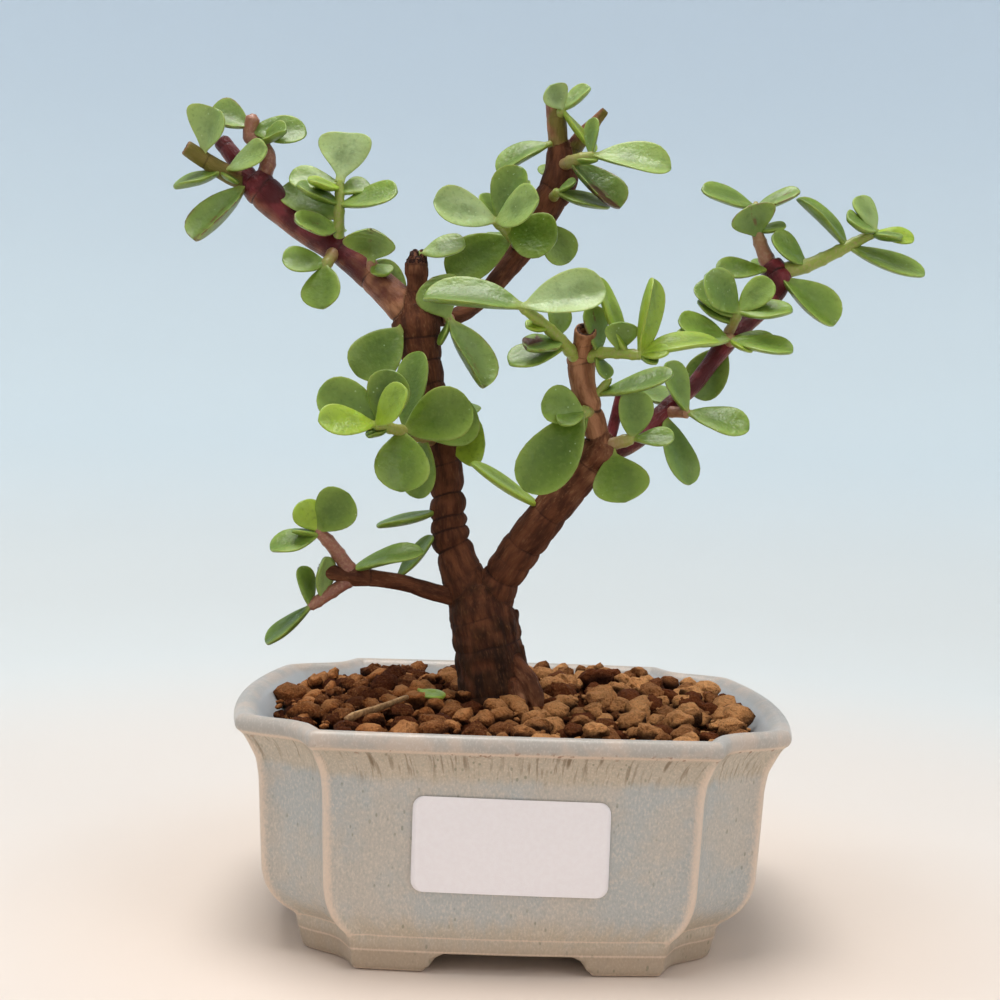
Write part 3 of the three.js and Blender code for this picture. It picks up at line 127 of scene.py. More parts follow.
# ---------- sizes: leaves ----------
# A leaf: place along its stem (not for single leaves), heading and lean in degrees, length, width, and, where they
# aren't the usual ones, roll in degrees, how deep it is cupped and how far its tip curls.
# Looks, a letter a leaf: g green, d dark, p pale and bloomed, y young, b brown-edged, w wrinkled, s scarred,
# h heavily bloomed. A stem's wood runs from green (0) to brown-red (1).
SHOOTS = {  # how woody the stem is, the leaves' looks, the stem's line [x, y, z, radius], the leaves
    "shoot_left_tip_up": (0.9, "gbg",
        [[-66, 12, 173, 2], [-64, 11, 181.6, 1.8], [-68.5, 11, 185.8, 1.7], [-67.5, 10, 191, 1.6]],
        [[0.66, 8, 28, 10, 7, 40, 1.8], [0.88, 168, -12, 11, 9.5, 28, 2], [0.84, 0, -4, 14, 9, 22]]),
    "shoot_upper_left": (0.12, "hpygggbg",
        [[-45.5, 6, 157, 1.5], [-45.3, 4, 166, 1.3], [-45.3, 4, 175, 1]],
        [[1, 80, -15, 12, 14, 0], [0.96, 177, -8, 12.5, 8, 50], [0.9, -176, 40, 9, 6, 45], [0.7, 169, 18, 11, 8, 50],
        [0.68, 5, 12, 15, 9.5, 55], [0.84, 24, -24, 8, 6, 40], [0.36, -177, 30, 11.8, 8, 26],
        [0.5, 150, -30, 18.5, 10.5, 15]]),
    "shoot_upper_left_short": (0.65, "wg",
        [[-36.9, 3.2, 151, 1.5], [-36.7, -0.6, 155.4, 1.2]],
        [[1, 86, 44, 9.6, 12.5, 10, 1.6], [0.8, -40, 30, 6, 6, 30]]),
    "shoot_left_branch_low": (0.45, "gd",
        [[-46.2, 5, 157.5, 1.6], [-47.8, -1, 152.8, 1.3]],
        [[0.9, -174, 12, 10.5, 8, 25], [1, -88, 20, 12, 10, 10]]),
    "shoot_front": (0.4, "gddddgyydd",
        [[-20.2, -0.5, 112.6, 1.6], [-26.6, -16, 114, 1.4], [-32.9, -26, 115.3, 1.1]],
        [[0.24, 26, -8, 13.5, 11.8, 10], [0.26, -91, -8, 14.5, 9, 20], [0.6, 82, -14, 19, 9.5, 35],
        [0.64, 23, 0, 16.5, 12.5, 10], [0.68, -84, 16, 14.5, 12.8, 5], [0.86, 156, 0, 17, 11, 20],
        [1, -177, 24, 13.4, 8.4, 40], [1, 43, 30, 12, 8.4, 35], [0.92, 80, 8, 12.7, 10, 15],
        [0.84, -150, 34, 6, 4.5, 55]]),
    "shoot_middle_low": (0.6, "wwg",
        [[-18.2, 3.6, 142, 1.5], [-17.8, -2.5, 141.2, 1.2]],
        [[1, 118, 20, 11, 11.5, 15], [1, -64, 8, 19, 10.5, 35, 2.4], [1, -100, 25, 7.5, 4, 70]]),
    "shoot_middle_front": (0.25, "hpggpdd",
        [[-0.8, 13.4, 161.6, 1.7], [-4.4, 4, 163.5, 1.4], [-7.7, -3, 164.9, 1.2]],
        [[1, 172, 12, 15.7, 10.5, 25, 1.4], [1, 16, 42, 14.5, 10.5, 26], [0.94, 66, 6, 14, 9.5, 35, 1.8],
        [0.86, 126, -14, 9, 6, 40], [0.5, 70, -20, 15.5, 5, 60], [0.4, -149, -8, 18.5, 11.5, 20],
        [0.66, -14, 22, 13.6, 12, 8]]),
    "shoot_middle_right": (0.4, "gg",
        [[6.2, 14.6, 173.6, 1.4], [7.6, 8.5, 174.6, 1.1]],
        [[1, -19, 0, 13.4, 8, 50], [1, 25, 15, 5.5, 4, 60]]),
    "shoot_top": (0.3, "hpy",
        [[6.8, 16, 194, 1.4], [8.7, 13.4, 196.3, 1.1]],
        [[1, 125, 28, 7.2, 7.2, 12, 1.6], [1, 35, 6, 8.6, 6.2, 44, 1.6], [1, -55, 8, 13.6, 5.5, 70]]),
    "shoot_top_right": (0.4, "sgpg",
        [[8.7, 15.6, 182.3, 1.6], [11.5, 8, 182.3, 1.4], [16.5, 5, 182.9, 1.2]],
        [[0.5, -50, 10, 17.4, 10, 40, 2.2], [0.6, -14, 34, 7, 4.5, 60], [1, -7, 16, 19, 10, 42, 1.5, -0.12],
        [0.94, 84, -6, 9.5, 5, 60]]),
    "shoot_centre_left": (0.03, "ghgysg",
        [[12.6, -19.6, 130.6, 1.6], [6.5, -28, 135.8, 1.3], [-1.8, -35.5, 141.3, 1.1]],
        [[1, 171, 6, 21, 12, 45, 1.5, -0.2], [1, 12, 6, 17.8, 11, 35, 1.5], [0.5, 92, -10, 7, 6, 30],
        [0.65, -175, 25, 5.5, 4.5, 50], [0.42, -160, 35, 11, 8, 50], [0.35, -156, 15, 14, 8.5, 45]]),
    "shoot_centre_right": (0.03, "bggyyyygg",
        [[13, -20, 131.6, 1.6], [16.8, -25, 132.7, 1.3], [25, -32.5, 131.9, 1.1]],
        [[0.35, 105, 0, 10.5, 7, 45], [0.3, -69, 20, 6.5, 5, 50], [0.68, 90, 15, 7, 7.5, 20],
        [0.8, 116, -10, 18, 7, 60], [1, 88, 0, 16.5, 9.5, 50, 1.8], [1, 24, 6, 17, 8, 50, 1, -0.28],
        [1, 2, 25, 6.5, 5, 60], [0.98, -30, 15, 4.5, 3.5, 60], [0.14, 70, -25, 7, 5, 40]]),
    "shoot_centre_twig": (0.2, "g",
        [[14.4, -18, 121.6, 1.2], [19.5, -20.5, 127.5, 0.8]],
        [[0.5, 8, 20, 18, 8, 60]]),
    "shoot_knob_left": (0.4, "dggg",
        [[15.6, -17, 120, 1.6], [13.1, -23.5, 119.6, 1.3]],
        [[1, -125, 8, 22.5, 12.5, 10], [1, 170, 8, 10, 9, 10], [1, -144, 35, 8, 5.5, 50],
        [0.6, -106, -15, 8, 5, 50]]),
    "shoot_knob_right": (0.45, "gg",
        [[18.2, -15.6, 112, 1.6], [25.6, -18.5, 114.4, 1.3]],
        [[1, 90, -5, 11, 9.5, 15], [1, -4, 12, 9.5, 6, 55]]),
    "shoot_right_low": (0.65, "gg",
        [[33.2, -8.6, 121, 1.4], [38.7, -13.5, 120.6, 1.2]],
        [[1, 123, 0, 12.5, 8, 45, 1.5], [1, -15, 12, 14.5, 9, 40]]),
    "shoot_right_node_up": (0.4, "ggggg",
        [[48.4, -3, 139.5, 1.3], [50.2, -8, 145.2, 1.1]],
        [[1, 140, 15, 12.5, 10, 25], [1, 44, 0, 10.5, 7.5, 35], [1, -2, 15, 12.4, 8, 45],
        [0.85, 146, -15, 12.2, 9, 30], [0.6, 150, -10, 10, 7, 40]]),
    "shoot_right_node_low": (0.6, "gpdgy",
        [[49.2, -3.4, 138.4, 1.6], [48, -8.5, 138.2, 1.4]],
        [[0.9, 170, 10, 13.5, 8.5, 45], [1, -172, 20, 14, 8.5, 55], [0.9, -8, 10, 11, 8, 40],
        [1, -14, 20, 15, 8.5, 45], [1, -35, 30, 6.5, 4.5, 55]]),
    "shoot_right_up": (0.5, "gbbg",
        [[59.4, 4.4, 157.6, 2], [56.2, 5, 166, 1.4], [55.6, 5, 173.2, 1.1]],
        [[0.95, 168, 6, 14.5, 8, 50], [0.5, 116, 24, 9, 11.4, 6], [0.95, 18, 12, 11, 6.8, 50],
        [0.6, 6, 12, 7, 4.5, 60]]),
    "shoot_right_tip": (0.22, "gggggpy",
        [[61.6, 3.4, 156.4, 2], [67.1, 3, 157.4, 1.7], [77.2, 2, 162.4, 1.4], [84.6, 0.6, 166.6, 1.1]],
        [[0.3, 151, 8, 11.5, 8, 40], [0.7, 129, 0, 16.5, 8, 50, 1.6, -0.2], [0.72, -28, 8, 19.1, 9.5, 45],
        [0.99, 172, 30, 9.4, 8, 54], [0.96, -24, 34, 7.5, 6.5, 54], [1, 123, -8, 9.6, 7.2, 30],
        [1, -17, 6, 9.2, 6, 44]]),
    "shoot_low_left_up": (0.9, "gdgyg",
        [[-37.8, -9.8, 80.2, 1.8], [-43.7, -13, 88.4, 1.5], [-46.6, -14.5, 91.2, 1.2]],
        [[0.14, 26, 12, 17.5, 7.5, 66, 1, -0.16], [1, 48, 5, 11.5, 10.5, 15], [0.95, -156, 12, 11.8, 8, 40],
        [0.98, 122, 5, 8, 7.5, 20], [0.9, 178, 30, 7.5, 4, 70]]),
    "shoot_low_left_down": (0.9, "gpd",
        [[-38, -10, 79.8, 1.6], [-45.3, -12, 74.6, 1.4], [-48, -13, 72.6, 1.1]],
        [[1, 109, -5, 9.5, 6, 60], [0.75, 93, 8, 10, 7, 50], [1, -134, 12, 13, 7.5, 60]]),
}
SINGLE_LEAVES = {  # the leaves' looks, the root that they share, the leaves
    "leaf_left_tip_hanging": ("b", [-69.4, 10.2, 173.4], [[-118, 15, 19, 11, 30, 2.2]]),
    "leaf_left_tip_lower": ("gg", [-75.2, 9, 176.4], [[-151, 10, 11.8, 8.4, 50], [-35, 10, 5.5, 4, 60]]),
    "leaf_left_tip_upper": ("p", [-79.2, 8, 180.6], [[66, 10, 11, 13, 14, 1.9]]),
    "leaf_left_tip_front": ("p", [-73.2, 9, 177], [[20, 22, 12.4, 8, 40]]),
    "leaf_behind_torn_stub": ("w", [-28.5, 4, 146.5], [[134, -10, 12, 8, 20]]),
    "leaf_fork_left": ("d", [-28.8, -4, 138.6], [[-128, 10, 16, 12, 10]]),
    "leaf_left_trunk": ("y", [-17.6, -1, 111], [[4, 6, 9.6, 12.5, 12]]),
    "leaf_torn_stub": ("p", [-24.8, -2.4, 156.6], [[7, 8, 10.7, 8, 40]]),
    "leaf_middle_right": ("g", [3.8, 14, 167.6], [[-52, -4, 12, 9.5, 20]]),
    "leaf_top_left": ("g", [5.2, 14.6, 187.4], [[-155, 14, 14.6, 10, 48, 1.2, -0.2]]),
    "leaf_knob_front": ("d", [20.4, -17.4, 111], [[-74, 22, 13, 13, 0]]),
    "leaf_right_branch": ("g", [33.2, -10, 119.8], [[-73, 6, 17, 9.5, 30]]),
    "leaf_right_node_back": ("g", [48.4, -1.4, 137.4], [[-116, -12, 14, 11, 15]]),
    "leaf_right_inner": ("d", [58.6, 2.6, 156.4], [[-173, 12, 13.6, 8, 50]]),
    "leaf_right_hanging": ("g", [61.8, 1.4, 154.4], [[-47, 10, 17, 11, 40, 2]]),
    "leaf_low_left_twig": ("g", [-28, -5.6, 79.6], [[47, -10, 13, 6.5, 58]]),
    "leaf_low_left_trunk": ("g", [-18.8, -1.6, 95.8], [[-157, 12, 15.4, 7, 72]]),
    "leaf_right_trunk": ("y", [5.8, -9.4, 97.4], [[155, 8, 20, 7, 65]]),
    "leaves_left_branch_back": ("gg", [-52, 11.6, 161.6], [[62, -66, 14, 9, 15], [160, -68, 12, 8, 50]]),
    "leaves_left_trunk_back": ("gg", [-19.6, 3, 117.4], [[28, -58, 15, 10, 45], [150, -56, 15, 10, 45]]),
    "leaves_middle_branch_back": ("gg", [-1.8, 16.2, 160.6], [[40, -62, 13, 9, 35], [138, -60, 14, 9, 40]]),
    "leaves_top_back": ("g", [8.4, 20.4, 180], [[100, -68, 13, 9, 0]]),
    "leaf_right_branch_back": ("g", [35.6, -6.8, 122.6], [[150, -60, 13, 8, 45]]),
    "leaf_right_end_back": ("g", [60.8, 5.4, 154.4], [[95, -66, 13, 8.5, 5]]),
}
LOOKS = {
    "g": {"bloom": 0.15}, "d": {"dark": 0.8}, "p": {"youth": 0.2, "bloom": 0.9}, "h": {"youth": 0.1, "bloom": 1.35},
    "y": {"youth": 0.95, "bloom": 0.05}, "b": {"youth": 0.05, "bloom": 0.3, "brown": 0.8},
    "w": {"youth": 0.1, "bloom": 0.4, "brown": 0.4, "wrinkles": 1.0},
    "s": {"bloom": 0.2, "dark": 0.3, "brown": 0.6, "scar": 1.0},
}
BLADE = np.array([  # place along the leaf, share of its width, half thickness at the middle and at the rim
    (-0.05, 0.16, 0.7, 0.55), (0.04, 0.17, 0.7, 0.52), (0.12, 0.36, 0.8, 0.52), (0.24, 0.62, 0.98, 0.54),
    (0.36, 0.81, 1.08, 0.56), (0.5, 0.95, 1.1, 0.58), (0.61, 1.0, 1.04, 0.58), (0.72, 0.98, 0.94, 0.57),
    (0.82, 0.89, 0.82, 0.54), (0.91, 0.7, 0.67, 0.5), (0.965, 0.47, 0.55, 0.44), (0.993, 0.24, 0.42, 0.34),
    (1.003, 0.08, 0.24, 0.2),
])
USUAL_LEAF = (0, 1, 0.08)  # roll, cup and curl, where a leaf's row leaves them out
LEAF_STATIONS, LEAF_SIDES = 26, 24
LEAF_SINK = 0.8  # a leaf's root lies this far back inside its stem
STEM_SIDES, STEM_SPACING = 14, 0.45

# ---------- sizes: pot and bed ----------
RIM = {"panel": 42.5, "corner_x": 59.8, "corner_y": 33.8, "end_bow": 4.3, "front_bow": 1.2}
# The cut corners: shares along X and Y from the panel's edge to the end's corner
STRAIGHT_CUT = [(0, 0), (0.1, 0.13), (0.27, 0.36), (0.5, 0.6), (0.76, 0.82), (1, 1)]
OGEE_CUT = [(0, 0), (0.06, 0.18), (0.17, 0.46), (0.36, 0.65), (0.72, 0.8), (1, 1)]
OGEE_STRENGTH = [(0, 0.6), (8, 0.6), (16, 0.35), (40, 0.35), (49, 1.0)]  # how stepped the corners are, by height
RIDGE_ENDS = (26, 56)  # an outline's points at a quarter's panel end and corner
POT_WALL = [  # [height, inset from the lip, half depth], from the lip's crown down the outside to the foot
    (52.0, 2.1, 47.3), (51.95, 1.2, 47.8), (51.6, 0.35, 48.45), (50.9, -0.2, 48.85), (50.0, -0.4, 49.0),
    (49.2, -0.35, 48.95), (48.6, 0.0, 48.7), (48.2, 0.7, 48.1), (47.8, 1.35, 47.55), (46.8, 2.2, 46.8),
    (45.6, 3.1, 46.0), (44.0, 3.9, 45.3), (42.4, 4.7, 44.7), (38.5, 5.4, 44.1), (28.0, 5.95, 43.85),
    (18.0, 6.5, 43.6), (15.0, 7.3, 43.5), (13.2, 8.2, 43.4), (11.5, 9.4, 43.2), (10.0, 11.0, 43.0),
    (9.0, 12.4, 42.8), (8.2, 13.6, 42.5), (7.6, 13.95, 42.35), (6.3, 13.95, 42.4), (5.2, 13.95, 42.4),
    (4.7, 14.1, 42.35), (4.4, 14.5, 42.2), (2.5, 14.8, 41.95), (1.2, 15.1, 41.75), (0.5, 15.5, 41.4),
    (0.12, 16.0, 41.0), (0.0, 16.8, 40.4),
]
POT_FLOOR = [
    (0.0, 18.0, 39.6), (0.0, 21.0, 37.6), (0.0, 24.4, 35.6), (0.1, 25.8, 34.8), (0.7, 26.5, 34.3),
    (2.6, 25.9, 34.6), (4.2, 25.3, 34.9), (4.6, 27.0, 33.5),
]
POT_INSIDE = [
    (52.0, 1.9, 47.3), (51.95, 2.7, 46.8), (51.7, 3.4, 46.3), (51.2, 4.1, 45.8), (50.2, 4.9, 45.3),
    (48.8, 5.9, 44.6), (47.0, 7.4, 43.6), (45.0, 9.2, 42.4), (40.0, 9.8, 42.2), (26.0, 11.5, 41.5),
    (13.0, 13.0, 40.8), (10.8, 13.8, 40.5), (9.6, 15.3, 39.7), (9.4, 18.0, 38.0),
]
FOOT_HEIGHT = 4.6
ARCHES = {"front": 18.4, "end": 15.0, "slope": 4.4}  # half widths at the bottom, and the sides' run
DRAIN = {"x": 23.0, "radius": 4.5, "low": 2.0, "high": 12.0}  # a hole's place and the drill's reach
LABEL = {"x": -0.3, "z": 28.1, "width": 41.2, "height": 20.2, "corner": 2.4, "tilt": -0.6, "back": 0.2, "face": 0.42}
SOIL_TOP = 50.6
BED_WALL = [(45.0, 9.8, 42.0), (40.0, 10.6, 41.8), (13.5, 13.8, 40.4), (9.9, 15.9, 39.3)]
BED_DROP = 2.6  # how far the bed's skin lies under the tops of its grains

GRAIN_INPUTS = [  # name, kind, usual value; lengths in metres
    ("Spacing", "Float", 0.004), ("Grain radius", "Float", 0.0024), ("Smallest", "Float", 0.6),
    ("Largest", "Float", 1.3), ("Flatness", "Float", 0.75), ("Low", "Float", -0.001), ("High", "Float", 0.001),
    ("Lumps", "Float", 0.0016), ("Lump scale", "Float", 230.0), ("Sides", "Int", 2), ("Seed", "Int", 1),
    ("Lowest tone", "Float", 0.0), ("Highest tone", "Float", 1.0),
]
GRAIN_LAYERS = [  # the share of the bed that a layer covers, and what differs from the usual grains
    # The first, lowest layer is toned dark: painted shade under the layers above it.
    (0.985, {"Spacing": 0.0042, "Seed": 3, "Low": -0.0028, "High": -0.0012, "Lumps": 0.0030, "Lowest tone": -0.2,
             "Highest tone": 0.35}),
    (0.975, {"Spacing": 0.0056, "Seed": 8, "Low": -0.0006, "High": 0.0016, "Grain radius": 0.0027,
             "Lumps": 0.0036, "Lump scale": 280.0}),
    (0.95, {"Spacing": 0.0105, "Seed": 21, "Low": 0.0008, "High": 0.0022, "Grain radius": 0.0029,
            "Lumps": 0.0042, "Lump scale": 300.0, "Sides": 3}),
    (1.0, {"Spacing": 0.0026, "Seed": 5, "Low": -0.0008, "High": 0.0012, "Grain radius": 0.0009, "Sides": 1,
           "Lumps": 0.0009}),
]
MOST_GRAINS = 400000.0  # a square metre, before the spacing thins them


# ---------- numbers ----------
def place(points):
    """Millimetres from the pot's centre to the frame's metres."""
    return np.asarray(points, float) * MM + np.array([POT_CENTRE, 0.0, 0.0])


def srgb(*values):
    """A colour given as 0 to 255, as the linear colour that a socket takes."""
    shares = [value / 255 for value in values]
    return tuple(s / 12.92 if s <= 0.04045 else ((s + 0.055) / 1.055) ** 2.4 for s in shares) + (1.0,)


def unit(vectors):
    vectors = np.asarray(vectors, float)
    return vectors / np.maximum(np.linalg.norm(vectors, axis=-1, keepdims=True), 1e-9)


def smoothstep(low, high, value):
    share = np.clip((np.asarray(value, float) - low) / (high - low), 0, 1)
    return share * share * (3 - 2 * share)


def hump(value, at, width):
    """1 where a value is at a place, falling to 0 on both sides."""
    return np.exp(-(((value - at) / width) ** 2))


def circle(sides):
    turn = 2 * np.pi * np.arange(sides) / sides
    return np.cos(turn), np.sin(turn)


def between(wanted, places, rows):
    """The rows' columns, read at the wanted places."""
    return np.stack([np.interp(wanted, places, column) for column in np.asarray(rows, float).T], axis=1)


def way_lengths(points):
    """How far along a line each of its points lies."""
    return np.append(0, np.cumsum(np.linalg.norm(np.diff(points, axis=0), axis=1)))


# ---------- meshes ----------
class Skin:
    """Points, faces and point attributes of one piece, added part by part."""

    def __init__(self, *first, **marks):
        self.points, self.faces, self.marks, self.count = [], [], {}, 0
        if first:
            self.add(*first, **marks)

    def add(self, points, faces, **marks):
        points = np.asarray(points, float)
        for name in set(marks) | set(self.marks):
            before = self.marks.setdefault(name, [np.zeros(self.count)])
            before.append(np.broadcast_to(marks.get(name, 0.0), (len(points),)).astype(float))
        self.points.append(points)
        self.faces += [tuple(i + self.count for i in face) for face in faces]
        self.count += len(points)

    def mesh(self, name):
        mesh = bpy.data.meshes.new(name)
        mesh.from_pydata(place(np.concatenate(self.points)).tolist(), [], self.faces)
        store(mesh, {mark: np.concatenate(values) for mark, values in self.marks.items()})
        mesh.polygons.foreach_set("use_smooth", [True] * len(mesh.polygons))
        mesh.update()
        return mesh


def store(mesh, marks):
    """Keeps a number at every point, for the materials to read."""
    for mark, values in marks.items():
        mesh.attributes.new(mark, "FLOAT", "POINT").data.foreach_set("value", values.astype(np.float32))


def loose_object(name, data):
    made = bpy.data.objects.new(name, data)
    bpy.context.scene.collection.objects.link(made)
    return made


def show(name, mesh, material, slot, *nodes):
    """A mesh as a piece that rides the part's one body and stands for its CAD nodes."""
    mesh.materials.clear()
    mesh.materials.append(material)
    piece = loose_object(name, mesh)
    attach(piece, "root")
    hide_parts(*nodes)


def apply_modifiers(piece):
    """Swaps a piece's mesh for the one that its modifiers make."""
    made = bpy.data.meshes.new_from_object(piece.evaluated_get(bpy.context.evaluated_depsgraph_get()))
    piece.modifiers.clear()
    piece.data = made


def take_mesh(piece, worked=False):
    """An object's mesh, with its modifiers applied where they are asked for; the object itself goes."""
    if worked:
        apply_modifiers(piece)
    mesh = piece.data
    bpy.data.objects.remove(piece)
    return mesh


def spline(waypoints, spacing, columns=3):
    """Points at even spacing along a centripetal Catmull-Rom curve through the waypoints' first columns.

    Gives the points, the tangents, the arc length at each and the place among the waypoints.
    """
    nodes = np.asarray(waypoints, float)[:, :columns]
    ends = np.vstack([2 * nodes[0] - nodes[1], nodes, 2 * nodes[-1] - nodes[-2]])
    share = np.linspace(0, 1, 40, endpoint=False)[:, None]
    samples, places = [], []
    for i in range(len(nodes) - 1):
        p0, p1, p2, p3 = ends[i : i + 4]
        gaps = [max(np.linalg.norm(b - a) ** 0.5, 1e-4) for a, b in ((p0, p1), (p1, p2), (p2, p3))]
        start = (p1 - p0) / gaps[0] - (p2 - p0) / (gaps[0] + gaps[1]) + (p2 - p1) / gaps[1]
        stop = (p2 - p1) / gaps[1] - (p3 - p1) / (gaps[1] + gaps[2]) + (p3 - p2) / gaps[2]
        start, stop = start * gaps[1], stop * gaps[1]
        samples.append(p1 + start * share + (3 * (p2 - p1) - 2 * start - stop) * share**2
                       + (2 * (p1 - p2) + start + stop) * share**3)
        places.append(i + share[:, 0])
    samples = np.vstack([*samples, nodes[-1:]])
    places = np.append(np.concatenate(places), len(nodes) - 1)
    arcs = way_lengths(samples)
    wanted = np.linspace(0, arcs[-1], max(3, int(round(arcs[-1] / spacing)) + 1))
    points = between(wanted, arcs, samples)
    return points, unit(np.gradient(points, axis=0)), wanted, np.interp(wanted, arcs, places)


def thick_line(waypoints, spacing):
    """The same for waypoints that also hold a radius, with the radii in place of the places."""
    points, tangents, arcs, places = spline(waypoints, spacing)
    return points, tangents, arcs, np.interp(places, range(len(waypoints)), [w[3] for w in waypoints])


def frames_along(tangents):
    """Two unit vectors square to each tangent that turn as little as they can along the way."""
    across = unit(np.cross(tangents[0], [0.31, 0.93, 0.17]))
    sideways = []
    for tangent in tangents:
        across = unit(across - tangent * (across @ tangent))
        sideways.append(across)
    sideways = np.array(sideways)
    return sideways, np.cross(tangents, sideways)


def tube(centres, tangents, radii, sides):
    """Rings of points round a line, and the closed skin's faces with a fan at each end."""
    across, up = frames_along(tangents)
    cos, sin = circle(sides)
    spokes = cos[None, :, None] * across[:, None, :] + sin[None, :, None] * up[:, None, :]
    points = (centres[:, None, :] + spokes * np.asarray(radii, float)[:, None, None]).reshape(-1, 3)
    return np.vstack([points, centres[:1], centres[-1:]]), ring_faces(len(centres), sides)


def sliver(line, thickness):
    """A thin straight or bent slip, thinner towards its tip."""
    return tube(line, unit(np.gradient(line, axis=0)), np.linspace(*thickness, len(line)), 8)


def ring_faces(rings, sides, fans=True):
    """Faces between rings of points, with a fan from the last two points over the first and last ring."""
    faces = []
    for r in range(rings - 1):
        for k in range(sides):
            a, b = r * sides + k, r * sides + (k + 1) % sides
            faces.append((a, b, b + sides, a + sides))
    first, last = rings * sides, rings * sides + 1
    for k in range(sides * fans):
        faces.append((first, (k + 1) % sides, k))
        faces.append((last, (rings - 1) * sides + k, (rings - 1) * sides + (k + 1) % sides))
    return faces


# ---------- materials ----------
def feed(tree, inputs, links):
    """Gives a node's inputs what links holds for them: a Tone to follow, or a fixed value."""
    for name, value in links.items():
        if isinstance(value, Tone):
            tree.links.new(value.socket, inputs[name])
        else:
            inputs[name].default_value = value


def add_node(tree, kind, links, **settings):
    made = tree.nodes.new(kind)
    for key, value in settings.items():
        setattr(made, key, value)
    feed(tree, made.inputs, links)
    return made


class Tone:
    """A number, colour or vector that varies over a piece: its sums and products add the nodes that they need."""

    def __init__(self, tree, socket):
        self.tree, self.socket = tree, socket

    def math(self, operation, other=0.0):
        made = add_node(self.tree, "ShaderNodeMath", {0: self, 1: other}, operation=operation)
        return Tone(self.tree, made.outputs[0])

    def __mul__(self, other):
        return self.math("MULTIPLY", other)

    def __add__(self, other):
        return self.math("ADD", other)

    def __sub__(self, other):
        return self.math("SUBTRACT", other)

    def most(self, other):
        return self.math("MAXIMUM", other)

    def band(self, low, high, top=1.0, bottom=0.0):
        """bottom where it is under low, top where it is over high, and smooth between."""
        links = {"Value": self, "From Min": low, "From Max": high, "To Min": bottom, "To Max": top}
        made = add_node(self.tree, "ShaderNodeMapRange", links, interpolation_type="SMOOTHSTEP")
        return Tone(self.tree, made.outputs["Result"])


class Paint:
    """One material, its colour laid on coat by coat."""

    def __init__(self, name):
        self.material = bpy.data.materials.new(name)
        self.material.use_nodes = True
        self.tree = self.material.node_tree
        self.shader = next(n for n in self.tree.nodes if n.type == "BSDF_PRINCIPLED")
        self.where = self.made("TexCoord", "Object", {})
        split = add_node(self.tree, "ShaderNodeSeparateXYZ", {0: self.where})
        self.x, self.y, self.z = (Tone(self.tree, socket) for socket in split.outputs)
        self.color = None

    def made(self, kind, output, links, **settings):
        return Tone(self.tree, add_node(self.tree, "ShaderNode" + kind, links, **settings).outputs[output])

    def mark(self, name, output="Fac"):
        """What the piece's points hold under a name."""
        return self.made("Attribute", output, {}, attribute_name=name)

    def stretched(self, scale):
        return self.made("Mapping", "Vector", {"Vector": self.where, "Scale": scale})

    def wall_lines(self, stretch):
        """Coordinates that run straight down the pot's wall, also where it flares: drawn out by the stretch."""
        links = {0: self.mark("column_x") * MM, 1: self.mark("column_y") * MM, 2: self.z * stretch}
        return self.made("CombineXYZ", "Vector", links)

    def noise(self, scale, detail=3.0, rough=0.6, where=None):
        links = {"Vector": where or self.where, "Scale": scale, "Detail": detail, "Roughness": rough}
        return self.made("TexNoise", "Fac", links)

    def cells(self, scale, where=None):
        """How far the nearest of many scattered points lies."""
        return self.made("TexVoronoi", "Distance", {"Vector": where or self.where, "Scale": scale})

    def mix(self, share, under, over):
        """One colour over another by a share; colours may be given as 0 to 255."""
        under, over = (c if isinstance(c, Tone) else srgb(*c) for c in (under, over))
        return self.made("Mix", 2, {"Factor": share, 6: under, 7: over}, data_type="RGBA")

    def coat(self, share, over):
        self.color = self.mix(share, self.color, over)

    def finish(self, roughness, *bumps, **fixed):
        """Sets the shader's colour, roughness, bumps (height, depth, strength) and what is the same all over."""
        links = {"Base Color": self.color, "Roughness": roughness}
        for height, depth, strength in bumps:
            bump = {"Height": height, "Distance": depth, "Strength": strength}
            if "Normal" in links:
                bump["Normal"] = links["Normal"]
            links["Normal"] = self.made("Bump", "Normal", bump)
        feed(self.tree, self.shader.inputs, links)
        for name, value in fixed.items():
            self.shader.inputs[name.replace("_", " ")].default_value = value
        return self.material


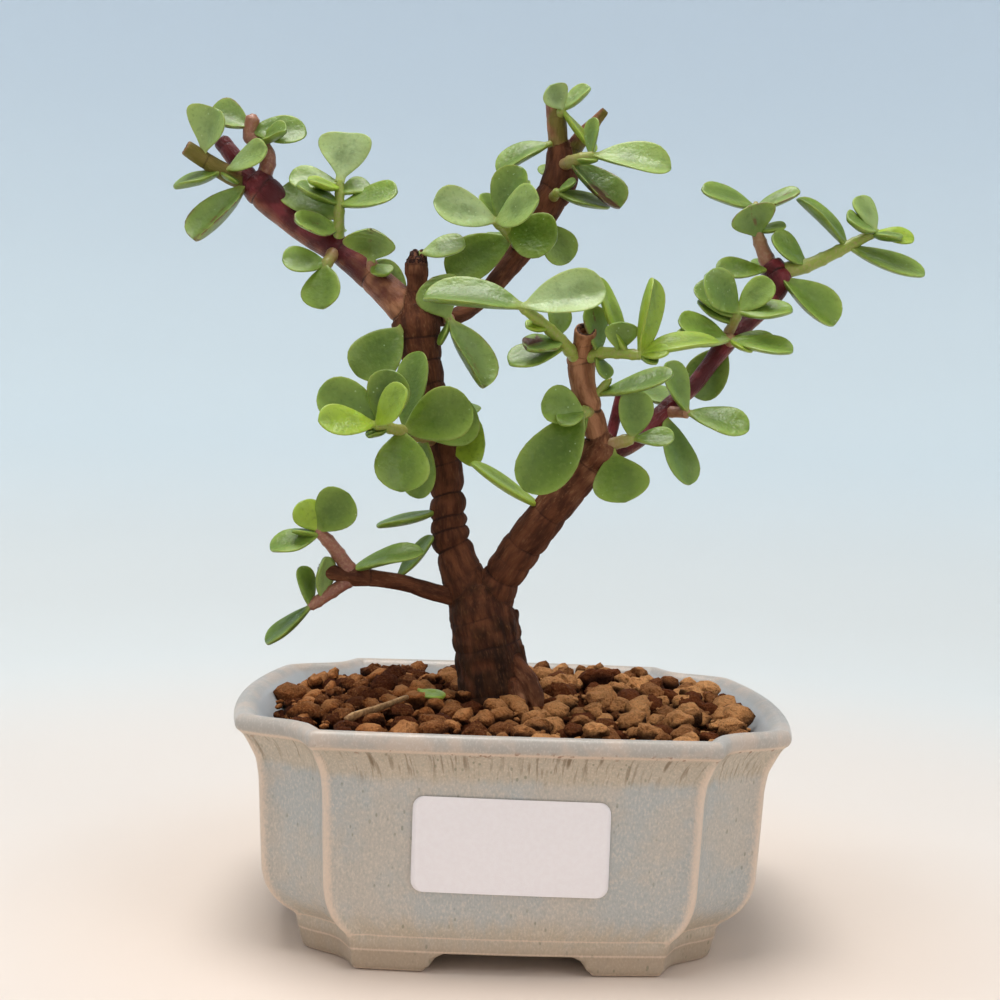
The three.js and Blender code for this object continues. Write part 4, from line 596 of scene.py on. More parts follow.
def glaze_paint():
    """Speckled blue-grey glaze, beige and streaked under the lip, tan where it thins on edges, with a thin painted
    highlight on the lip's inner edge.
    """
    paint = Paint("speckled_glaze")
    height = paint.z * (1 / MM)
    grain = paint.noise(2300, 2.0, where=paint.stretched((1.0, 1.0, 0.6)))
    cloud = paint.noise(75, 4.0)
    paint.color = paint.mix(cloud.band(0.4, 0.62), (171, 173, 171), (182, 175, 165))
    wavy = (paint.noise(420, where=paint.wall_lines(0.2)) - 0.5) * 0.9
    warm = height.band(38.5, 44.5).most(height.band(17.0, 8.0) * 0.75) + wavy
    paint.coat(warm.band(0.25, 0.85) * 0.75, (184, 169, 147))
    paint.coat(grain.band(0.52, 0.66) * 0.42, (212, 200, 184))
    paint.coat(grain.band(0.47, 0.34) * 0.3, (138, 146, 140))
    paint.coat(height.band(9.0, 4.5, 0.6), (160, 140, 118))

    under_lip = height.band(39.0, 45.5) * height.band(48.3, 47.5)
    crowds = paint.noise(210, 2.0, 0.5, paint.wall_lines(0.4)).band(0.42, 0.6)
    threads = paint.noise(1500, 2.0, where=paint.wall_lines(0.1)).band(0.52, 0.66) * (crowds * 0.45 + 0.25)
    drops = paint.cells(430, paint.wall_lines(0.2)).band(0.26, 0.1) * crowds
    paint.coat(threads.most(drops) * under_lip * 0.85, (108, 88, 60))
    flecks = paint.cells(640, paint.stretched((1.0, 1.0, 0.5))).band(0.22, 0.12)
    paint.coat(flecks * paint.noise(140, 2.0, 0.5).band(0.48, 0.62) * 0.55, (104, 112, 92))

    lip = paint.mix(paint.noise(110).band(0.42, 0.62), (168, 162, 154), (187, 172, 158))
    lip = paint.mix(paint.mark("inner"), lip, (188, 192, 194))
    paint.coat(paint.mark("lip"), paint.mix(grain.band(0.5, 0.7) * 0.3, lip, (212, 204, 198)))
    # The tan mark: glaze thinning on the outside's edges and ridges, and a painted highlight on the lip's inner edge.
    paint.coat((paint.mark("tan") + (grain - 0.5) * 0.4).band(0.2, 0.9) * 0.85, (218, 196, 176))
    paint.coat(paint.noise(520, 2.0, 0.5).band(0.62, 0.68) * paint.mark("lip_foot") * 0.85, (132, 86, 54))
    return paint.finish(cloud.band(0.3, 0.7, 0.46, 0.34), (grain, 0.00004, 0.6),
                        (paint.noise(160, rough=0.5), 0.0003, 0.5), Coat_Weight=0.12, Coat_Roughness=0.3)


def clay_paint():
    """Porous baked clay: orange to dark brown from grain to grain, gritty, dusted with pale specks; painted shade
    under the grains and to the left, painted light on their tops.
    """
    paint = Paint("baked_clay_grain")
    tone, top = paint.mark("grain_tone"), paint.mark("grain_top")
    grit, lumps = paint.noise(1900, 5.0, 0.7), paint.noise(520)
    # Darker and redder to the left: partly damp red clay, partly painted shade under the foliage; the dry colour to
    # the right is lighter, partly painted light.
    damp_and_shaded = paint.mix(tone.band(0.05, 0.95), (80, 38, 18), (186, 114, 62))
    dry = paint.mix(tone.band(0.05, 0.95), (112, 60, 32), (232, 166, 106))
    paint.color = paint.mix(paint.x.band(-0.03, 0.02), damp_and_shaded, dry)
    paint.coat(lumps.band(0.52, 0.34, 0.4), (84, 44, 20))
    paint.coat(grit.band(0.5, 0.64) * tone.band(0.0, 0.5, 0.34, 0.08), (224, 160, 100))
    paint.coat(grit.band(0.48, 0.34) * 0.62, (66, 32, 14))
    # Painted shade on the lower part of each grain and painted light on its top.
    paint.coat(top.band(0.45, -0.4, 0.9), (34, 15, 7))
    paint.coat(top.band(0.35, 0.95, 0.4) * tone.band(0.2, 0.8), (236, 176, 118))
    return paint.finish(0.95, (grit, 0.0011, 0.9), (lumps, 0.0022, 0.8), Specular_IOR_Level=0.1)


def bark_paint():
    """Brown ringed bark with lengthwise fibres on the old wood, smooth crimson skin on the young branches."""
    paint = Paint("ringed_bark")
    age, drawn_out = paint.mark("age"), paint.mark("grain", "Vector")
    fibre, broad = paint.noise(2300, where=drawn_out), paint.noise(520, where=drawn_out)
    fine, patch = paint.noise(1500, 4.0, 0.65), paint.noise(170, rough=0.55)
    crimson = paint.mix(patch.band(0.42, 0.62), (76, 22, 26), (116, 46, 50))
    tan_side = paint.mix(patch.band(0.42, 0.62), (92, 50, 32), (140, 92, 62))
    blurred = age + (patch - 0.5) * 0.3
    paint.color = paint.mix(paint.mark("up"), tan_side, crimson)
    paint.coat(blurred.band(0.1, 0.32), paint.mix(broad.band(0.38, 0.62), (128, 82, 54), (170, 120, 86)))
    paint.coat(blurred.band(0.4, 0.64), paint.mix(broad.band(0.3, 0.7), (66, 34, 19), (108, 64, 40)))
    paint.coat(blurred.band(0.8, 0.98), paint.mix(broad.band(0.38, 0.62), (40, 21, 9), (62, 36, 18)))
    rugged = age.band(0.1, 0.6, 1.0, 0.3) * paint.mark("rugged")
    pale = paint.mix(age.band(0.5, 0.85), (184, 134, 98), (122, 82, 50))
    paint.coat(fibre.band(0.54, 0.74, 0.42) * rugged, pale)
    paint.coat(fibre.band(0.46, 0.28, 0.34) * rugged, (42, 20, 12))
    paint.coat(paint.mark("green") * 0.85, (104, 100, 38))
    paint.coat(paint.mark("fissure").band(0.45, 0.9) * 0.38, (46, 26, 18))
    paint.coat(paint.mark("crease").band(0.2, 0.85) * 0.8, (40, 22, 17))
    paint.coat(paint.mark("rim") * 0.75, (184, 132, 94))
    torn = paint.mix(fine.band(0.48, 0.64), (42, 20, 15), (112, 70, 50))
    paint.coat(paint.mark("cut").band(0.35, 0.65), torn)
    return paint.finish(age.band(0.1, 0.7, 0.8, 0.3), (fibre, 0.0005, 0.8), (fine, 0.0002, 0.5),
                        Specular_IOR_Level=0.2)


def jade_paint():
    """Waxy succulent leaf on a green to brown-red stem: painted light makes its upper face paler than its underside,
    and its rim is paler, partly its own margin, partly a painted glow.
    """
    paint = Paint("jade_leaf")
    blade, side, upper, tone, wood = (paint.mark(name) for name in ("blade", "side", "upper", "tone", "stem_wood"))
    cloud, fine, veins = paint.noise(170), paint.noise(1500), paint.noise(900)
    out = side.math("ABSOLUTE")  # 0 on the midrib, 1 on the rim
    # The underside is darker and the upper face lighter: painted shade and light from above.
    under = paint.mix(tone, (62, 88, 13), (86, 111, 22))
    paint.color = paint.mix(upper, under, paint.mix(tone, (78, 109, 19), (110, 140, 35)))
    paint.coat(cloud.band(0.42, 0.66, 0.45), (126, 151, 52))
    paint.coat(paint.mark("dark") * 0.5, (56, 76, 16))
    paint.coat(paint.mark("bloom") * upper.band(0.0, 1.0, 0.62, 0.25), (179, 200, 150))
    paint.coat(paint.mark("youth") * 0.8, (162, 188, 48))
    paint.coat(out.band(0.85, 0.2) * blade.band(0.2, 0.45) * cloud.band(0.35, 0.65, 0.55, 0.15), (56, 84, 12))
    # Paler towards the rim and tip: partly the leaf's own pale margin, partly painted light glowing through the thick
    # rim.
    paint.coat(out.band(0.35, 0.95, 0.26) + blade.band(0.4, 1.0, 0.18), (142, 170, 64))
    paint.coat(out.band(0.8, 1.0) * cloud.band(0.35, 0.6, 0.32, 0.1), (162, 180, 88))
    paint.coat(veins.band(0.5, 0.7, 0.12), (146, 170, 84))
    paint.coat(veins.band(0.46, 0.3, 0.24), (54, 80, 12))
    paint.coat(blade.band(0.16, 0.0, 0.6), (158, 168, 84))
    dots = paint.cells(620).band(0.16, 0.08)
    paint.coat(dots * paint.noise(90, rough=0.5).band(0.5, 0.62, 0.5), (178, 200, 150))

    edge = out.band(0.88, 0.99).most(blade.band(0.93, 0.99)).most(out.band(0.12, 0.03) * blade.band(0.35, 0.5))
    paint.coat(edge * paint.noise(420).band(0.46, 0.56) * paint.mark("brown"), (104, 76, 44))
    scar = side.band(0.04, 0.16) * side.band(1.02, 0.96) * blade.band(0.42, 0.56)
    paint.coat(scar * paint.noise(260).band(0.4, 0.48) * paint.mark("scar"), (74, 38, 24))
    stem = paint.mix(wood.band(0.1, 0.5), (140, 158, 66), (156, 106, 84))
    stem = paint.mix(wood.band(0.55, 0.95), stem, (126, 76, 64))
    stem = paint.mix(fine.band(0.45, 0.65, 0.35), stem, (176, 148, 112))
    paint.coat(paint.mark("stem").band(0.4, 0.6), stem)
    return paint.finish(cloud.band(0.35, 0.65, 0.44, 0.33), (fine, 0.00016, 0.6), (cloud, 0.0009, 0.7),
                        Subsurface_Weight=0.12, Subsurface_Scale=0.0015, Specular_IOR_Level=0.38,
                        Coat_Weight=0.06, Coat_Roughness=0.25)


def plain_paint(name, light, dark, scale, roughness):
    """A surface of one material: a slight cloud of colour and a fine tooth."""
    paint = Paint(name)
    paint.color = paint.mix(paint.noise(scale, 4.0).band(0.35, 0.65), dark, light)
    return paint.finish(roughness, (paint.noise(scale * 5), 0.0001, 0.6))


# ---------- pot ----------
def outline(z, inset, depth):
    """The pot's outline at a height, anticlockwise from the front's middle: inset from the lip, half depth."""
    panel = RIM["panel"] - 0.65 * inset
    corner_x, corner_y = RIM["corner_x"] - inset, RIM["corner_y"] - 0.25 * inset
    s = (1 - (1 - np.linspace(0, 1, 27)) ** 1.7)[:-1]  # closer together towards the panel's edge
    front = np.stack([panel * s, -depth - RIM["front_bow"] * (1 - s * s)], 1)
    ogee = np.interp(z, *zip(*OGEE_STRENGTH))
    keys = (1 - ogee) * np.array(STRAIGHT_CUT) + ogee * np.array(OGEE_CUT)
    shares = between(np.linspace(0, 5, 31)[:-1], range(6), keys)
    cut = np.array([panel, -depth]) + shares * [corner_x - panel, depth - corner_y]
    s = 1 - np.linspace(0, 1, 21) ** 1.7
    end = np.stack([corner_x + RIM["end_bow"] * (1 - s * s), -corner_y * s], 1)
    quarter = np.vstack([front, cut, end])
    right = np.vstack([quarter, quarter[:-1][::-1] * [1, -1]])
    ring = np.vstack([right, right[1:-1][::-1] * [-1, 1]])
    for _ in range(3):
        ring = 0.5 * ring + 0.25 * (np.roll(ring, 1, 0) + np.roll(ring, -1, 0))
    return ring


def softened(keys, spacing):
    """A profile's keys as closely set points, with their corners rounded a little."""
    arcs = way_lengths(keys)
    line = between(np.linspace(0, arcs[-1], int(arcs[-1] / spacing) + 2), arcs, keys)
    for _ in range(2):
        line[1:-1] = 0.5 * line[1:-1] + 0.25 * (line[:-2] + line[2:])
    return line


def arch_height(x, y):
    """How high the foot ring's underside stands: 0 at the four feet, the floor's height between them."""
    front, end = (np.clip((half - np.abs(value)) / ARCHES["slope"], 0, 1)
                  for half, value in ((ARCHES["front"], x), (ARCHES["end"], y)))
    return FOOT_HEIGHT * smoothstep(0, 1, np.maximum(front, end))


def pot_skin():
    """The whole pot as one closed skin: inside, lip, wall, band, feet and underside."""
    walls = [(*row, "inside") for row in softened(POT_INSIDE, 1.1)[::-1]]
    walls += [(*row, "outside") for row in softened(POT_WALL, 0.55)[1:]]
    walls += [(*row, "under") for row in softened(POT_FLOOR, 0.8)]
    middle = outline(28.0, 6.0, 43.8)
    around = np.cumsum(np.linalg.norm(middle - np.roll(middle, 1, 0), axis=1))
    count, half = len(middle), (len(middle) + 2) // 4 * 2
    ridges = [k % count for first in RIDGE_ENDS for k in (first, half - first, half + first, count - first)]
    gaps = np.array([abs(around - around[k]) for k in ridges])
    away = np.minimum(gaps, around[-1] - gaps).min(0)
    points, marks = [], {name: [] for name in ("tan", "lip", "inner", "lip_foot", "column_x", "column_y")}
    for z, inset, depth, part in walls:
        inside, outside, under = (part == name for name in ("inside", "outside", "under"))
        ring = outline(z, inset, depth)
        outward = np.roll(ring, -1, 0) - np.roll(ring, 1, 0)
        outward = unit(np.stack([outward[:, 1], -outward[:, 0]], 1))
        on_wall = float(smoothstep(5.5, 9, z) * smoothstep(49.5, 45, z)) * outside
        ridge = (0.8 * hump(away, 0, 1.3) - 0.35 * hump(away, 4.4, 2.6)) * on_wall
        ring = ring + outward * ridge[:, None]
        height = np.full(count, z)
        if not inside:
            height = np.maximum(height, arch_height(*ring.T) * (z < FOOT_HEIGHT))
        points.append(np.column_stack([ring, height]))
        # Lines of the tan mark: on the outside where the glaze thins, inside a painted highlight along the lip's
        # inner edge.
        edges = [(48.2, 0.6), (7.9, 0.3), (4.8, 0.35), (0.4, 0.4)] if outside else [(51.9, 0.12)]
        edge = max(hump(z, at, wide) for at, wide in edges)
        values = (
            np.maximum(0.8 * hump(away, 0, 1.5) * (0.3 + 0.7 * on_wall) * outside, 0.75 * edge * (not under)),
            smoothstep(48.0, 48.9, z) if outside else smoothstep(20, 30, z) * inside,
            smoothstep(51.4, 49.5, z) * inside,
            hump(z, 48.1, 0.7) * outside,
            *middle.T,
        )
        for rows, value in zip(marks.values(), values):
            rows.append(np.broadcast_to(value, count))
    ends = [[0, 0, walls[0][0]], [0, 0, walls[-1][0]]]
    faces = [face[::-1] for face in ring_faces(len(walls), count)]
    flat = {name: np.append(np.concatenate(rows), [0, 0]) for name, rows in marks.items()}
    return Skin(np.vstack([*points, ends]), faces, **flat)


def drill_drains(pot):
    """Cuts the two round drain holes through the pot's floor."""
    for side in (-1, 1):
        centres = np.array([[side * DRAIN["x"], 0, DRAIN[end]] for end in ("low", "high")])
        bit = Skin(*tube(centres, np.array([[0, 0, 1.0]] * 2), [DRAIN["radius"]] * 2, 40))
        drill = loose_object("drill", bit.mesh("drill"))
        cut = pot.modifiers.new("drain", "BOOLEAN")
        cut.operation, cut.object, cut.solver = "DIFFERENCE", drill, "EXACT"
        apply_modifiers(pot)
        bpy.data.objects.remove(drill)


def front_wall(x, z):
    """The front wall's Y at a place on the middle panel."""
    heights, insets, depths = zip(*POT_WALL[16:12:-1])  # from 15 to 38.5 mm up
    panel = RIM["panel"] - 0.65 * np.interp(z, heights, insets)
    return -np.interp(z, heights, depths) - RIM["front_bow"] * (1 - (x / panel) ** 2)


def label_skin():
    """A blank sticker with round corners that follows the wall."""
    rows, columns = 26, 40
    half_x, half_z, round_off = LABEL["width"] / 2, LABEL["height"] / 2, LABEL["corner"]
    up = -np.cos(np.pi * np.linspace(0, 1, rows + 1)) * half_z
    into = np.maximum(0, np.abs(up) - (half_z - round_off))
    reach = half_x - round_off + np.sqrt(np.maximum(0, round_off**2 - into**2))
    x = np.outer(reach, np.linspace(-1, 1, columns + 1)).ravel()
    z = LABEL["z"] + np.repeat(up, columns + 1) + x * math.tan(math.radians(LABEL["tilt"]))
    x = x + LABEL["x"]
    wide, count = columns + 1, len(x)
    edge = list(range(wide)) + [r * wide + columns for r in range(1, rows + 1)]
    edge += [rows * wide + c for c in range(columns - 1, -1, -1)] + [r * wide for r in range(rows - 1, 0, -1)]
    faces = []
    for r in range(rows):
        for a in range(r * wide, r * wide + columns):
            face = (a, a + 1, a + wide + 1, a + wide)
            faces += [face, tuple(i + count for i in face[::-1])]
    faces += [(b, a, a + count, b + count) for a, b in zip(edge, edge[1:] + edge[:1])]
    wall = front_wall(x, z)
    return Skin(np.vstack([np.column_stack([x, wall - LABEL[side], z]) for side in ("face", "back")]), faces)


# ---------- soil ----------
def bed_height(x, y):
    """A low mound round the trunk that falls away to the left end and the back corner."""
    mound = 1.6 * np.exp(-(((x + 5) / 26) ** 2) - ((y - 4) / 22) ** 2)
    low = 1.3 * smoothstep(-34, -54, x) + 1.2 * smoothstep(20, 40, y) * smoothstep(14, -20, x)
    return SOIL_TOP - 1.5 + mound + 0.022 * y - low


def bed_skin():
    """The bed under the loose grains: a mound that fills the pot down to its floor."""
    edge = outline(48.0, 7.6, 43.6)
    points = []
    for share in np.linspace(0.02, 1, 34):
        ring = edge * share
        rough = [0.5 * noise.noise(Vector((x * 0.45, y * 0.45, 3.0))) for x, y in ring]
        points.append(np.column_stack([ring, bed_height(*ring.T) - BED_DROP + rough]))
    points += [np.column_stack([outline(*row), np.full(len(edge), row[0])]) for row in BED_WALL]
    ends = [[0, 0, float(bed_height(0.0, 0.0)) - BED_DROP], [0, 0, BED_WALL[-1][0]]]
    # The bed takes the darkest tone: painted shade deep in the gaps between the grains.
    return Skin(np.vstack([*points, ends]), ring_faces(len(points), len(edge)), grain_tone=-0.4)


def bed_patch(share, rings=20):
    """The open mound surface that the loose grains are strewn on."""
    edge = outline(48.0, 8.4, 43.0) * share
    points = [np.column_stack([edge * s, bed_height(*(edge * s).T)]) for s in np.linspace(0.03, 1, rings)]
    return Skin(np.vstack(points), ring_faces(rings, len(edge), fans=False)).mesh("bed_patch")


def grain_tree():
    """Geometry nodes that strew lumpy grains over a surface."""
    tree = bpy.data.node_groups.new("strewn_grains", "GeometryNodeTree")
    for name, kind, value in [("Geometry", "Geometry", None), *GRAIN_INPUTS, ("Material", "Material", None)]:
        made = tree.interface.new_socket(name, in_out="INPUT", socket_type="NodeSocket" + kind)
        if value is not None:
            made.default_value = value
    tree.interface.new_socket("Geometry", in_out="OUTPUT", socket_type="NodeSocketGeometry")
    given = {socket.name: Tone(tree, socket) for socket in tree.nodes.new("NodeGroupInput").outputs}
    result = tree.nodes.new("NodeGroupOutput").inputs

    def node(kind, links, output=0, **settings):
        return Tone(tree, add_node(tree, kind, links, **settings).outputs[output])

    def chance(low, high, salt):
        """A random number for each grain, between two values."""
        links = {2: low, 3: high, "Seed": given["Seed"] + float(salt)}
        return node("FunctionNodeRandomValue", links, 1, data_type="FLOAT")

    def triple(x, y, z):
        return node("ShaderNodeCombineXYZ", {0: x, 1: y, 2: z})

    strewn = node("GeometryNodeDistributePointsOnFaces",
                  {"Mesh": given["Geometry"], "Distance Min": given["Spacing"], "Density Max": MOST_GRAINS,
                   "Seed": given["Seed"]}, distribute_method="POISSON")
    offset = triple(0.0, 0.0, chance(given["Low"], given["High"], 11))
    lifted = node("GeometryNodeSetPosition", {"Geometry": strewn, "Offset": offset})
    ball = node("GeometryNodeMeshIcoSphere", {"Radius": given["Grain radius"], "Subdivisions": given["Sides"]})
    # How high each point stands on its grain, kept as grain_top for the clay's painted shade under each grain and
    # painted light on its top.
    level = node("ShaderNodeSeparateXYZ", {0: node("GeometryNodeInputPosition", {})}, 2)
    top = level.math("DIVIDE", given["Grain radius"])
    ball = node("GeometryNodeStoreNamedAttribute", {"Geometry": ball, "Name": "grain_top", "Value": top},
                data_type="FLOAT", domain="POINT")
    size = chance(given["Smallest"], given["Largest"], 23)
    turned = triple(chance(-0.5, 0.5, 41), chance(-0.5, 0.5, 43), chance(0.0, 6.28, 47))
    scale = triple(size * chance(0.85, 1.3, 31), size, size * given["Flatness"])
    grains = node("GeometryNodeInstanceOnPoints",
                  {"Points": lifted, "Instance": ball, "Rotation": turned, "Scale": scale})
    tone = chance(given["Lowest tone"], given["Highest tone"], 53)
    toned = node("GeometryNodeStoreNamedAttribute", {"Geometry": grains, "Name": "grain_tone", "Value": tone},
                 data_type="FLOAT", domain="INSTANCE")
    real = node("GeometryNodeRealizeInstances", {0: toned})
    wobble = node("ShaderNodeTexNoise", {"Scale": given["Lump scale"], "Detail": 2.5, "Roughness": 0.6}, "Color")
    centred = node("ShaderNodeVectorMath", {0: wobble, 1: (0.5, 0.5, 0.5)}, operation="SUBTRACT")
    push = node("ShaderNodeVectorMath", {0: centred, "Scale": given["Lumps"]}, operation="SCALE")
    lumpy = node("GeometryNodeSetPosition", {"Geometry": real, "Offset": push})
    faceted = node("GeometryNodeSetShadeSmooth", {0: lumpy, "Shade Smooth": False})
    painted = node("GeometryNodeSetMaterial", {"Geometry": faceted, "Material": given["Material"]})
    tree.links.new(painted.socket, result["Geometry"])
    return tree


def strew(tree, material, patch, values):
    """The grains of one layer, as a plain mesh."""
    carrier = loose_object("carrier", patch)
    strewing = carrier.modifiers.new("grains", "NODES")
    strewing.node_group = tree
    for item in tree.interface.items_tree:
        if item.in_out == "INPUT" and item.name in values:
            strewing[item.identifier] = values[item.name]
        if item.in_out == "INPUT" and item.name == "Material":
            strewing[item.identifier] = material
    return take_mesh(carrier, worked=True)


def soil_mesh(material):
    """The bed and its layers of grains, joined with their point attributes kept."""
    tree = grain_tree()
    layers = [bed_skin().mesh("bed")]
    layers += [strew(tree, material, bed_patch(share), values) for share, values in GRAIN_LAYERS]
    parts = [loose_object("soil", mesh) for mesh in layers]
    with bpy.context.temp_override(active_object=parts[0], selected_editable_objects=parts, object=parts[0]):
        bpy.ops.object.join()
    return take_mesh(parts[0])


# ---------- leaves ----------
def powered(values, power):
    """A power that keeps the sign."""
    return np.sign(values) * np.abs(values) ** power


def leaf(skin, root, shape, look, rng):
    """One thick spoon-shaped leaf, its rim raised, its blade bent and a little uneven."""
    heading, lean, length, width, roll, cup, curl = [*shape, *USUAL_LEAF[len(shape) - 4 :]]
    turn, tip, spin = (math.radians(v) for v in (heading, lean, roll))
    along = np.array([math.cos(turn) * math.cos(tip), -math.sin(tip), math.sin(turn) * math.cos(tip)])
    front = unit(np.array([0, -1, 0]) + along * along[1])
    upper = np.cross(along, front)
    if upper[2] < -0.05:
        upper = -upper
    face = front * math.cos(spin) + upper * math.sin(spin)
    side = np.cross(along, face)
    u = np.linspace(0, 1, LEAF_STATIONS)
    t = -0.05 + 1.053 * (0.35 * u + 0.65 * (0.5 - 0.5 * np.cos(np.pi * u)))  # stations, closer at both ends
    t[-1] = 1.003
    fan = 1 + 0.4 * float(smoothstep(0.85, 1.15, width / length))
    share, middle, rim = between(powered(t, fan), BLADE[:, 0], BLADE[:, 1:]).T
    bulk = min(1.0, 0.45 + width / 14)
    cos, sin = circle(LEAF_SIDES)
    across = powered(cos, 0.88)
    sway, twist = rng.uniform(-0.05, 0.05), rng.uniform(-0.35, 0.35)
    ripple, phase = rng.uniform(0.01, 0.035) * width, rng.uniform(0, 6.3)
    curl = curl + rng.uniform(-0.03, 0.06)
    lopside = rng.uniform(-0.12, 0.12)
    wrinkle = LOOKS[look].get("wrinkles", 0)
    rows = []
    for k, at in enumerate(t):
        half = share[k] * width / 2
        flat = across * half * (1 + lopside * np.sign(across) * np.sin(np.pi * max(at, 0)) * 0.6)
        thick = (rim[k] + (middle[k] - rim[k]) * (1 - np.abs(across) ** 2.2)) * bulk
        lift = cup * 0.15 * width * share[k] * np.abs(across) ** 1.8
        lift = lift + ripple * share[k] * np.sin(at * 7 + phase + across * 1.5) * np.abs(across)
        groove = -0.16 * hump(flat, 0, 0.7) * (sin > 0) * smoothstep(0.05, 0.2, at) * smoothstep(0.9, 0.6, at)
        fold = wrinkle * 0.34 * np.sin(at * 60 + across * 5) * smoothstep(0.15, 0.3, at)
        fold = fold * (sin > 0) * (1 - np.abs(across) ** 3)
        rise = powered(sin, 0.85) * thick + lift + groove + fold
        cos_twist, sin_twist = math.cos(twist * at), math.sin(twist * at)
        s, f = side * cos_twist + face * sin_twist, face * cos_twist - side * sin_twist
        bent = curl * length * max(at, 0) ** 2
        centre = root + along * at * length + face * bent + side * sway * length * at * at
        rows.append(centre + np.outer(flat, s) + np.outer(rise, f))
    ends = [rows[0].mean(0), rows[-1].mean(0)]
    tone = rng.uniform(0, 1)
    marks = {name: LOOKS[look].get(name, 0.0) for name in ("youth", "bloom", "dark", "brown", "scar")}
    marks["youth"] *= rng.uniform(0.8, 1)
    marks["bloom"] *= rng.uniform(0.7, 1)
    for name, values in (("blade", np.repeat(t, LEAF_SIDES)), ("side", np.tile(across, LEAF_STATIONS)),
                         ("upper", np.tile(smoothstep(-0.25, 0.45, sin), LEAF_STATIONS))):
        marks[name] = np.append(values, [values[0], values[-1]])
    skin.add(np.vstack([*rows, ends]), ring_faces(LEAF_STATIONS, LEAF_SIDES), tone=tone, **marks)


def shoot_stem(skin, waypoints, woody, rng):
    """A shoot's stem, swollen where leaves leave it, sunk in the wood at its foot."""
    centres, tangents, arcs, radii = thick_line(waypoints, STEM_SPACING)
    for at in np.arange(rng.uniform(1.5, 3), arcs[-1], 4.2):
        radii = radii * (1 + 0.13 * hump(arcs, at, 0.55))
    radii = radii * (0.35 + 0.65 * smoothstep(0, 1.0, arcs[-1] - arcs))
    centres = np.vstack([centres[:1] - tangents[:1] * 0.9, centres])
    tangents = np.vstack([tangents[:1], tangents])
    fade = np.clip(woody - 0.25 * np.append(0, arcs) / max(arcs[-1], 1), 0, 1)
    wood = np.append(np.repeat(fade, STEM_SIDES), [fade[0], fade[-1]])
    rings = tube(centres, tangents, np.append(radii[0] * 1.12, radii), STEM_SIDES)
    skin.add(*rings, stem=1.0, stem_wood=wood)


def foliage(material):
    """Every leafy shoot and single leaf, one piece for each CAD node that it stands for."""
    rng = random.Random(5)
    skins = {name: Skin() for name in (*SHOOTS, *SINGLE_LEAVES)}
    for name, (woody, looks, stem, leaves) in SHOOTS.items():
        shoot_stem(skins[name], stem, woody, rng)
        points, tangents, arcs, _ = spline(stem, 0.2)
        for (at, *shape), look in zip(leaves, looks):
            k = int(round(at * (len(arcs) - 1)))
            leaf(skins[name], points[k] - tangents[k] * LEAF_SINK, shape, look, rng)
    for name, (looks, root, leaves) in SINGLE_LEAVES.items():
        for shape, look in zip(leaves, looks):
            leaf(skins[name], np.array(root, float), shape, look, rng)
    for name, skin in skins.items():
        show("jade_" + name, skin.mesh("jade_" + name), material, "jade_leaf", name)


# ---------- wood ----------
def ring_places(creases, points, arcs, rng):
    """Where a limb's growth rings lie along it, how deep each is and how far it tips along X."""
    if creases is not None:
        found = [(arcs[int(np.argmin(abs(points[:, 2] - z)))], deep, tip) for z, deep, tip in creases]
        return [f for f in found if 0.5 < f[0] < arcs[-1] - 0.5]
    places, at = [], rng.uniform(3, 6)
    while at < arcs[-1] - 1:
        places.append((at, rng.uniform(0.2, 0.42), rng.uniform(-0.25, 0.25)))
        at += rng.uniform(6.5, 12)
    return places


def open_end(skin, centres, tangents, radii, depth):
    """A limb whose far end is a rim round a hollow."""
    steps, shares = zip((0.35, 0.97), (0.5, 0.84), (0.42, 0.68), (0.0, 0.58), (-depth, 0.46))
    centres = np.vstack([centres, centres[-1] + np.outer(steps, tangents[-1])])
    tangents = np.vstack([tangents] + [tangents[-1]] * len(steps))
    skin.add(*tube(centres, tangents, np.append(radii, radii[-1] * np.array(shares)), LIMB_SIDES))


def wood_skin(lines):
    """The bare limbs as closed tubes that run into each other, before they are melted into one."""
    skin = Skin()
    rng = random.Random(17)
    for name, (points, tangents, arcs, radii) in lines.items():
        finish = LIMBS[name].get("end")
        if finish == "torn":
            keep = points[:, 2] < TORN_HEIGHT
            points, tangents, radii = points[keep], tangents[keep], radii[keep]
        if finish == "dry":
            radii = radii * (1 - 0.35 * smoothstep(0.45, 1, arcs / arcs[-1]))
        if finish in OPEN_ENDS:
            open_end(skin, points, tangents, radii, LIMBS[name].get("hollow", OPEN_ENDS[finish]))
        else:
            skin.add(*tube(points, tangents, radii, LIMB_SIDES))
        for k in range(SPLINTERS if finish == "torn" else 0):
            turn, out = k * 2.4, math.sqrt((k + 0.5) / SPLINTERS)
            away = np.array([math.cos(turn), math.sin(turn), 0]) * radii[-1] * out * 0.95
            top = points[-1] + away * rng.uniform(0.85, 1.25) + [0, 0, rng.uniform(0.4, 4.0)]
            skin.add(*sliver(np.linspace(points[-1] + away - [0, 0, 2.4], top, 7), (0.46, 0.24)))
    shreds(skin)
    return skin


def shreds(skin):
    """Thin slips of dry bark peeling from the foot of the trunk, mostly at its right."""
    rng = random.Random(41)
    foot = np.array(LIMBS["base"]["line"])
    for _ in range(SHREDS):
        z, turn = rng.uniform(52, 69), math.radians(rng.gauss(-25, 55))
        centre = np.array([np.interp(z, foot[:, 2], foot[:, 0]), 0.0, z])
        away = np.array([math.cos(turn), math.sin(turn), 0.0])
        start = centre + away * (np.interp(z, foot[:, 2], foot[:, 3]) - 0.3)
        long, lift = rng.uniform(2.5, 6), rng.uniform(-0.1, 0.3)
        t = np.linspace(0, 1, 8)[:, None]
        line = start + t * long * np.array([0, 0, 1.0]) + away * lift * t * t + np.array([-0.4, 0, 0]) * t
        skin.add(*sliver(line, (0.46, 0.3)))


